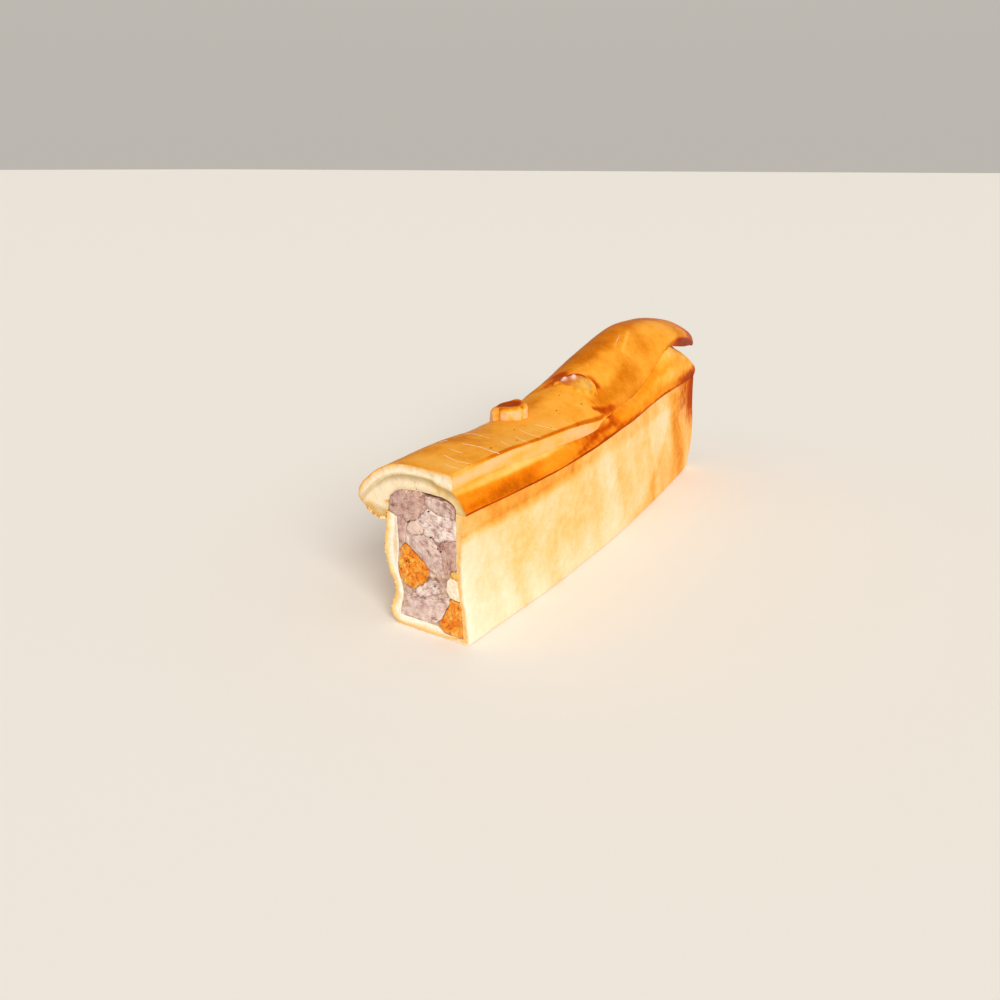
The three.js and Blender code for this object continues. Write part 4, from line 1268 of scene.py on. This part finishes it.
def jelly_height(u, s):
    """A low dome with a few soft lumps, as the stock set."""
    height = between(jelly_floor, jelly_rise, jelly_up)
    for lump_u, lump_s, lump_reach, lump_rise in jelly_lumps:
        height = height + jelly_up * lump_rise * hill(np.hypot(u - lump_u, s - lump_s), 0, lump_reach) ** 1.6
    return height


pool = ring_grid(far_chimney, jelly_radius, jelly_turn, jelly_height)
jelly = closed_piece("jelly_pool", (pool,), jelly_paint)

# Set stock: amber that light passes into, with painted pale highlights on two lumps, and as smooth as glass.
set_stock, tree, shader, place, clear, film = new_material("amber stock jelly", "clear", "film")
cloud = add(tree, "TexNoise", {"Vector": place, "Scale": 1 / 0.004, "Detail": 2.0})
shade = add(tree, "Math", (clear, 0.62), operation="MULTIPLY")
shade = add(tree, "Math", (cloud, 0.6, shade), operation="MULTIPLY_ADD")
amber = add(
    tree, "ValToRGB", (shade,),
    stops=((0.1, "#B4480E"), (0.45, "#CC741C"), (0.75, "#D48E2A"), (1.0, "#E2AC4C")),
)
# Painted highlights: pale pink-white spots on the two lumps at the left.
amber = add(tree, "Mix", {0: film, 6: amber, 7: colour("#F0CFC4")}, 2, data_type="RGBA")
feed(shader, {"Base Color": amber, "Roughness": 0.1, "IOR": 1.36, "Specular IOR Level": 0.3})
feed(shader, {
    "Subsurface Weight": 0.4, "Subsurface Radius": (0.004, 0.002, 0.0006), "Subsurface Scale": 1.0,
})
jelly.data.materials.append(set_stock)
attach(jelly, "root")
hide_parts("jelly")

# Crumbs and pepper. The knife and the drooping edge shed crumbs, which cling along the cut, in the
# seam and under the overhang; cracked pepper is dusted over the lid and runs through the filling.
def bits_tree():
    """Geometry Nodes that put a small ragged grain, turned and sized at random, on every point."""
    tree = bpy.data.node_groups.new("grains on points", "GeometryNodeTree")
    sockets = {
        "Geometry": "Geometry", "Smallest": "Float", "Largest": "Float", "Seed": "Int", "Finish": "Material",
    }
    for label, kind in sockets.items():
        tree.interface.new_socket(label, in_out="INPUT", socket_type="NodeSocket" + kind)
    tree.interface.new_socket("Geometry", in_out="OUTPUT", socket_type="NodeSocketGeometry")
    given = add(tree, "NodeGroupInput").node.outputs
    spots = add(tree, "GeometryNodeMeshToPoints", {"Mesh": given["Geometry"]})
    ball = add(tree, "GeometryNodeMeshIcoSphere", {"Radius": 0.5, "Subdivisions": 1})
    lumps = add(tree, "TexNoise", {"Scale": 2.6, "Detail": 1.0}, "Color")
    push = add(tree, "VectorMath", (lumps, (0.5, 0.5, 0.5)), operation="SUBTRACT")
    grain = add(tree, "GeometryNodeSetPosition", {"Geometry": ball, "Offset": push})
    smallest, largest, seed = (given[label] for label in ("Smallest", "Largest", "Seed"))
    size = add(tree, "FunctionNodeRandomValue", {2: smallest, 3: largest, 8: seed}, 1)
    stretch, turn = (
        add(tree, "FunctionNodeRandomValue", {0: [low] * 3, 1: [high] * 3, 8: seed}, data_type="FLOAT_VECTOR")
        for low, high in ((0.6, 1.3), (0.0, 6.283))
    )
    scale = add(tree, "VectorMath", {0: stretch, "Scale": size}, operation="SCALE")
    placed = {"Points": spots, "Instance": grain, "Rotation": turn, "Scale": scale}
    strewn = add(tree, "GeometryNodeInstanceOnPoints", placed)
    solid = add(tree, "GeometryNodeRealizeInstances", {"Geometry": strewn})
    finished = add(tree, "GeometryNodeSetMaterial", {"Geometry": solid, "Material": given["Finish"]})
    add(tree, "NodeGroupOutput", {"Geometry": finished})
    return tree


grains_on_points = bits_tree()


def strew(name, places, smallest, largest, seed, finish):
    """Puts grains of those sizes, in mm, on places of (u, s, z), as one plain mesh with one finish: the
    ball that a grain is made from brings an empty slot before it, which goes."""
    holder = bpy.data.objects.new(name, bpy.data.meshes.new(name + "_places"))
    holder.data.from_pydata(on_loaf(hand_made(np.array(places, float))).tolist(), [], [])
    bpy.context.collection.objects.link(holder)
    modifier = holder.modifiers.new(name, "NODES")
    modifier.node_group = grains_on_points
    given = {"Smallest": smallest / 1000, "Largest": largest / 1000, "Seed": seed, "Finish": finish}
    for socket in grains_on_points.interface.items_tree:
        if socket.in_out == "INPUT" and socket.name in given:
            modifier[socket.identifier] = given[socket.name]
    ready = holder.evaluated_get(bpy.context.evaluated_depsgraph_get())
    mesh = bpy.data.meshes.new_from_object(ready)
    mesh.name = name
    mesh.materials.pop(index=0)
    holder.modifiers.remove(modifier)
    holder.data = mesh
    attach(holder, "root")


# Loose pastry crumbs: dry and matt, from cream to golden brown.
loose_crumb, tree, shader, place = new_material("loose pastry crumb")
patch = add(tree, "TexNoise", {"Vector": place, "Scale": 1 / 0.002, "Detail": 2.0})
golden = add(
    tree, "ValToRGB", (patch,),
    stops=((0.3, "#C98428"), (0.45, "#EDB758"), (0.55, "#F9DA96"), (0.7, "#FFF0CE")),
)
feed(shader, {"Base Color": golden, "Roughness": 0.8, "Specular IOR Level": 0.15})

# Cracked pepper: near-black skin with brown breaks.
cracked_pepper, tree, shader, place = new_material("cracked pepper")
patch = add(tree, "TexNoise", {"Vector": place, "Scale": 1 / 0.0006, "Detail": 2.0})
dark = add(tree, "ValToRGB", (patch,), stops=((0.35, "#1E120A"), (0.55, "#4A2C12"), (0.7, "#7A4E22")))
feed(shader, {"Base Color": dark, "Roughness": 0.6})

chance = np.random.default_rng(5)
at_cut = np.zeros((1, 1))
under_left = left_flap_inner(at_cut)[0, len(arch_columns) + step_rows:]
walls_edge = case_outer(at_cut)[0]


def along_edge(edge, count, first, last, spread):
    """Places strewn along a line of (u, z) on the cut face, from one share of its length to another."""
    run = np.linspace(0, 1, len(edge))
    share = chance.uniform(first, last, count)
    u, z = (np.interp(share, run, edge[:, axis]) + chance.normal(0, spread, count) for axis in (0, 1))
    return np.stack((u, chance.uniform(-0.1, 1.2, count), np.maximum(z, 0.4)), -1)


seam_line = np.array(((seam_side - 0.4, 74.5), (seam_side, 82)))
crumb_places = np.concatenate((
    along_edge(under_left, 110, 0.0, 1.0, 0.4),
    along_edge(walls_edge, 70, 0.0, 0.55, 0.25),
    along_edge(seam_line, 12, 0.0, 1.0, 0.4),
    along_edge(np.array(((-11.0, 74.0), (-6.5, 74.4))), 9, 0.0, 1.0, 0.3),
))
strew("pastry_crumbs", crumb_places, 0.35, 1.15, 3, loose_crumb)

lid_pepper = np.array((
    (1.2, 76.7), (15.1, 15.4), (10, 40.5), (13.5, 94.9), (9.6, 140.5), (-2, 134.7), (9.4, 139.5),
    (4.5, 118), (12, 62),
))
lid_pepper = np.column_stack((lid_pepper, lid_height(*lid_pepper.T)))
meat_pepper = np.array((
    (2.75, 52.75), (3.6, 52.9), (4.4, 52.4), (-11, 58), (-10.4, 58.6), (-4, 54.5), (7, 47.5), (8.2, 49),
    (9, 46.5), (-7, 62.5), (-3.5, 60), (11.5, 52), (-13, 36.5), (-2, 18.5), (5, 27), (-17, 62), (2, 66),
))
meat_pepper = np.insert(meat_pepper, 1, 0.1, axis=-1)
strew("pepper_on_lid", lid_pepper, 0.5, 1.0, 4, cracked_pepper)
strew("pepper_in_filling", meat_pepper, 0.6, 1.3, 6, cracked_pepper)

# Floor, light and camera: a plain pale floor, a large soft light from the right and above, and the
# camera where the object was photographed from.
scene = bpy.context.scene
scene.view_settings.view_transform = "Standard"
floor_mesh = bpy.data.meshes.new("floor")
floor_reach = 40.0
floor_level = -0.0002
around = ((-1, -1), (1, -1), (1, 1), (-1, 1))
corners = [(floor_reach * x, floor_reach * y, floor_level) for x, y in around]
floor_mesh.from_pydata(corners, [], [(0, 1, 2, 3)])
floor = bpy.data.objects.new("floor", floor_mesh)
scene.collection.objects.link(floor)
floor_paint = bpy.data.materials.new("matt pale board")
floor_paint.use_nodes = True
floor_shader = floor_paint.node_tree.nodes["Principled BSDF"]
feed(floor_shader, {"Base Color": colour("#F1EFEB"), "Roughness": 0.8})
floor.data.materials.append(floor_paint)

world = bpy.data.worlds.new("pale room")
world.use_nodes = True
tree = world.node_tree
height = add(tree, "SeparateXYZ", (add(tree, "TexCoord", out="Generated"),), "Z")
glow = add(tree, "MapRange", (height, 0.0, 0.5, 0.5, 0.56), interpolation_type="SMOOTHSTEP")
feed(tree.nodes["Background"], {"Color": colour("#FFF8EE"), "Strength": glow})
scene.world = world

light_from = Vector((0.62, -0.6, 0.505))
lamp = bpy.data.lights.new("window light", "SUN")
lamp.angle = math.radians(30)
lamp.energy = 2.55
lamp.color = colour("#FFFAF2")[:3]
window = bpy.data.objects.new("window light", lamp)
scene.collection.objects.link(window)
window.matrix_world = light_from.to_track_quat("Z", "Y").to_matrix().to_4x4()

camera_place = (0.2247, -0.5199, 0.2225)
yaw, pitch, roll = (math.radians(turn) for turn in (-28.84, 19.80, 0.126))
ahead = Vector((math.sin(yaw) * math.cos(pitch), math.cos(yaw) * math.cos(pitch), -math.sin(pitch)))
level = Vector((math.cos(yaw), -math.sin(yaw), 0))
upright = level.cross(ahead)
right_side = level * math.cos(roll) + upright * math.sin(roll)
top_side = upright * math.cos(roll) - level * math.sin(roll)
lens = bpy.data.cameras.new("camera")
lens.sensor_width = 36
lens.lens = 33.436
camera = bpy.data.objects.new("camera", lens)
scene.collection.objects.link(camera)
turned = Matrix((right_side, top_side, -ahead)).transposed().to_4x4()
camera.matrix_world = Matrix.Translation(camera_place) @ turned
scene.camera = camera

bpy.context.view_layer.update()
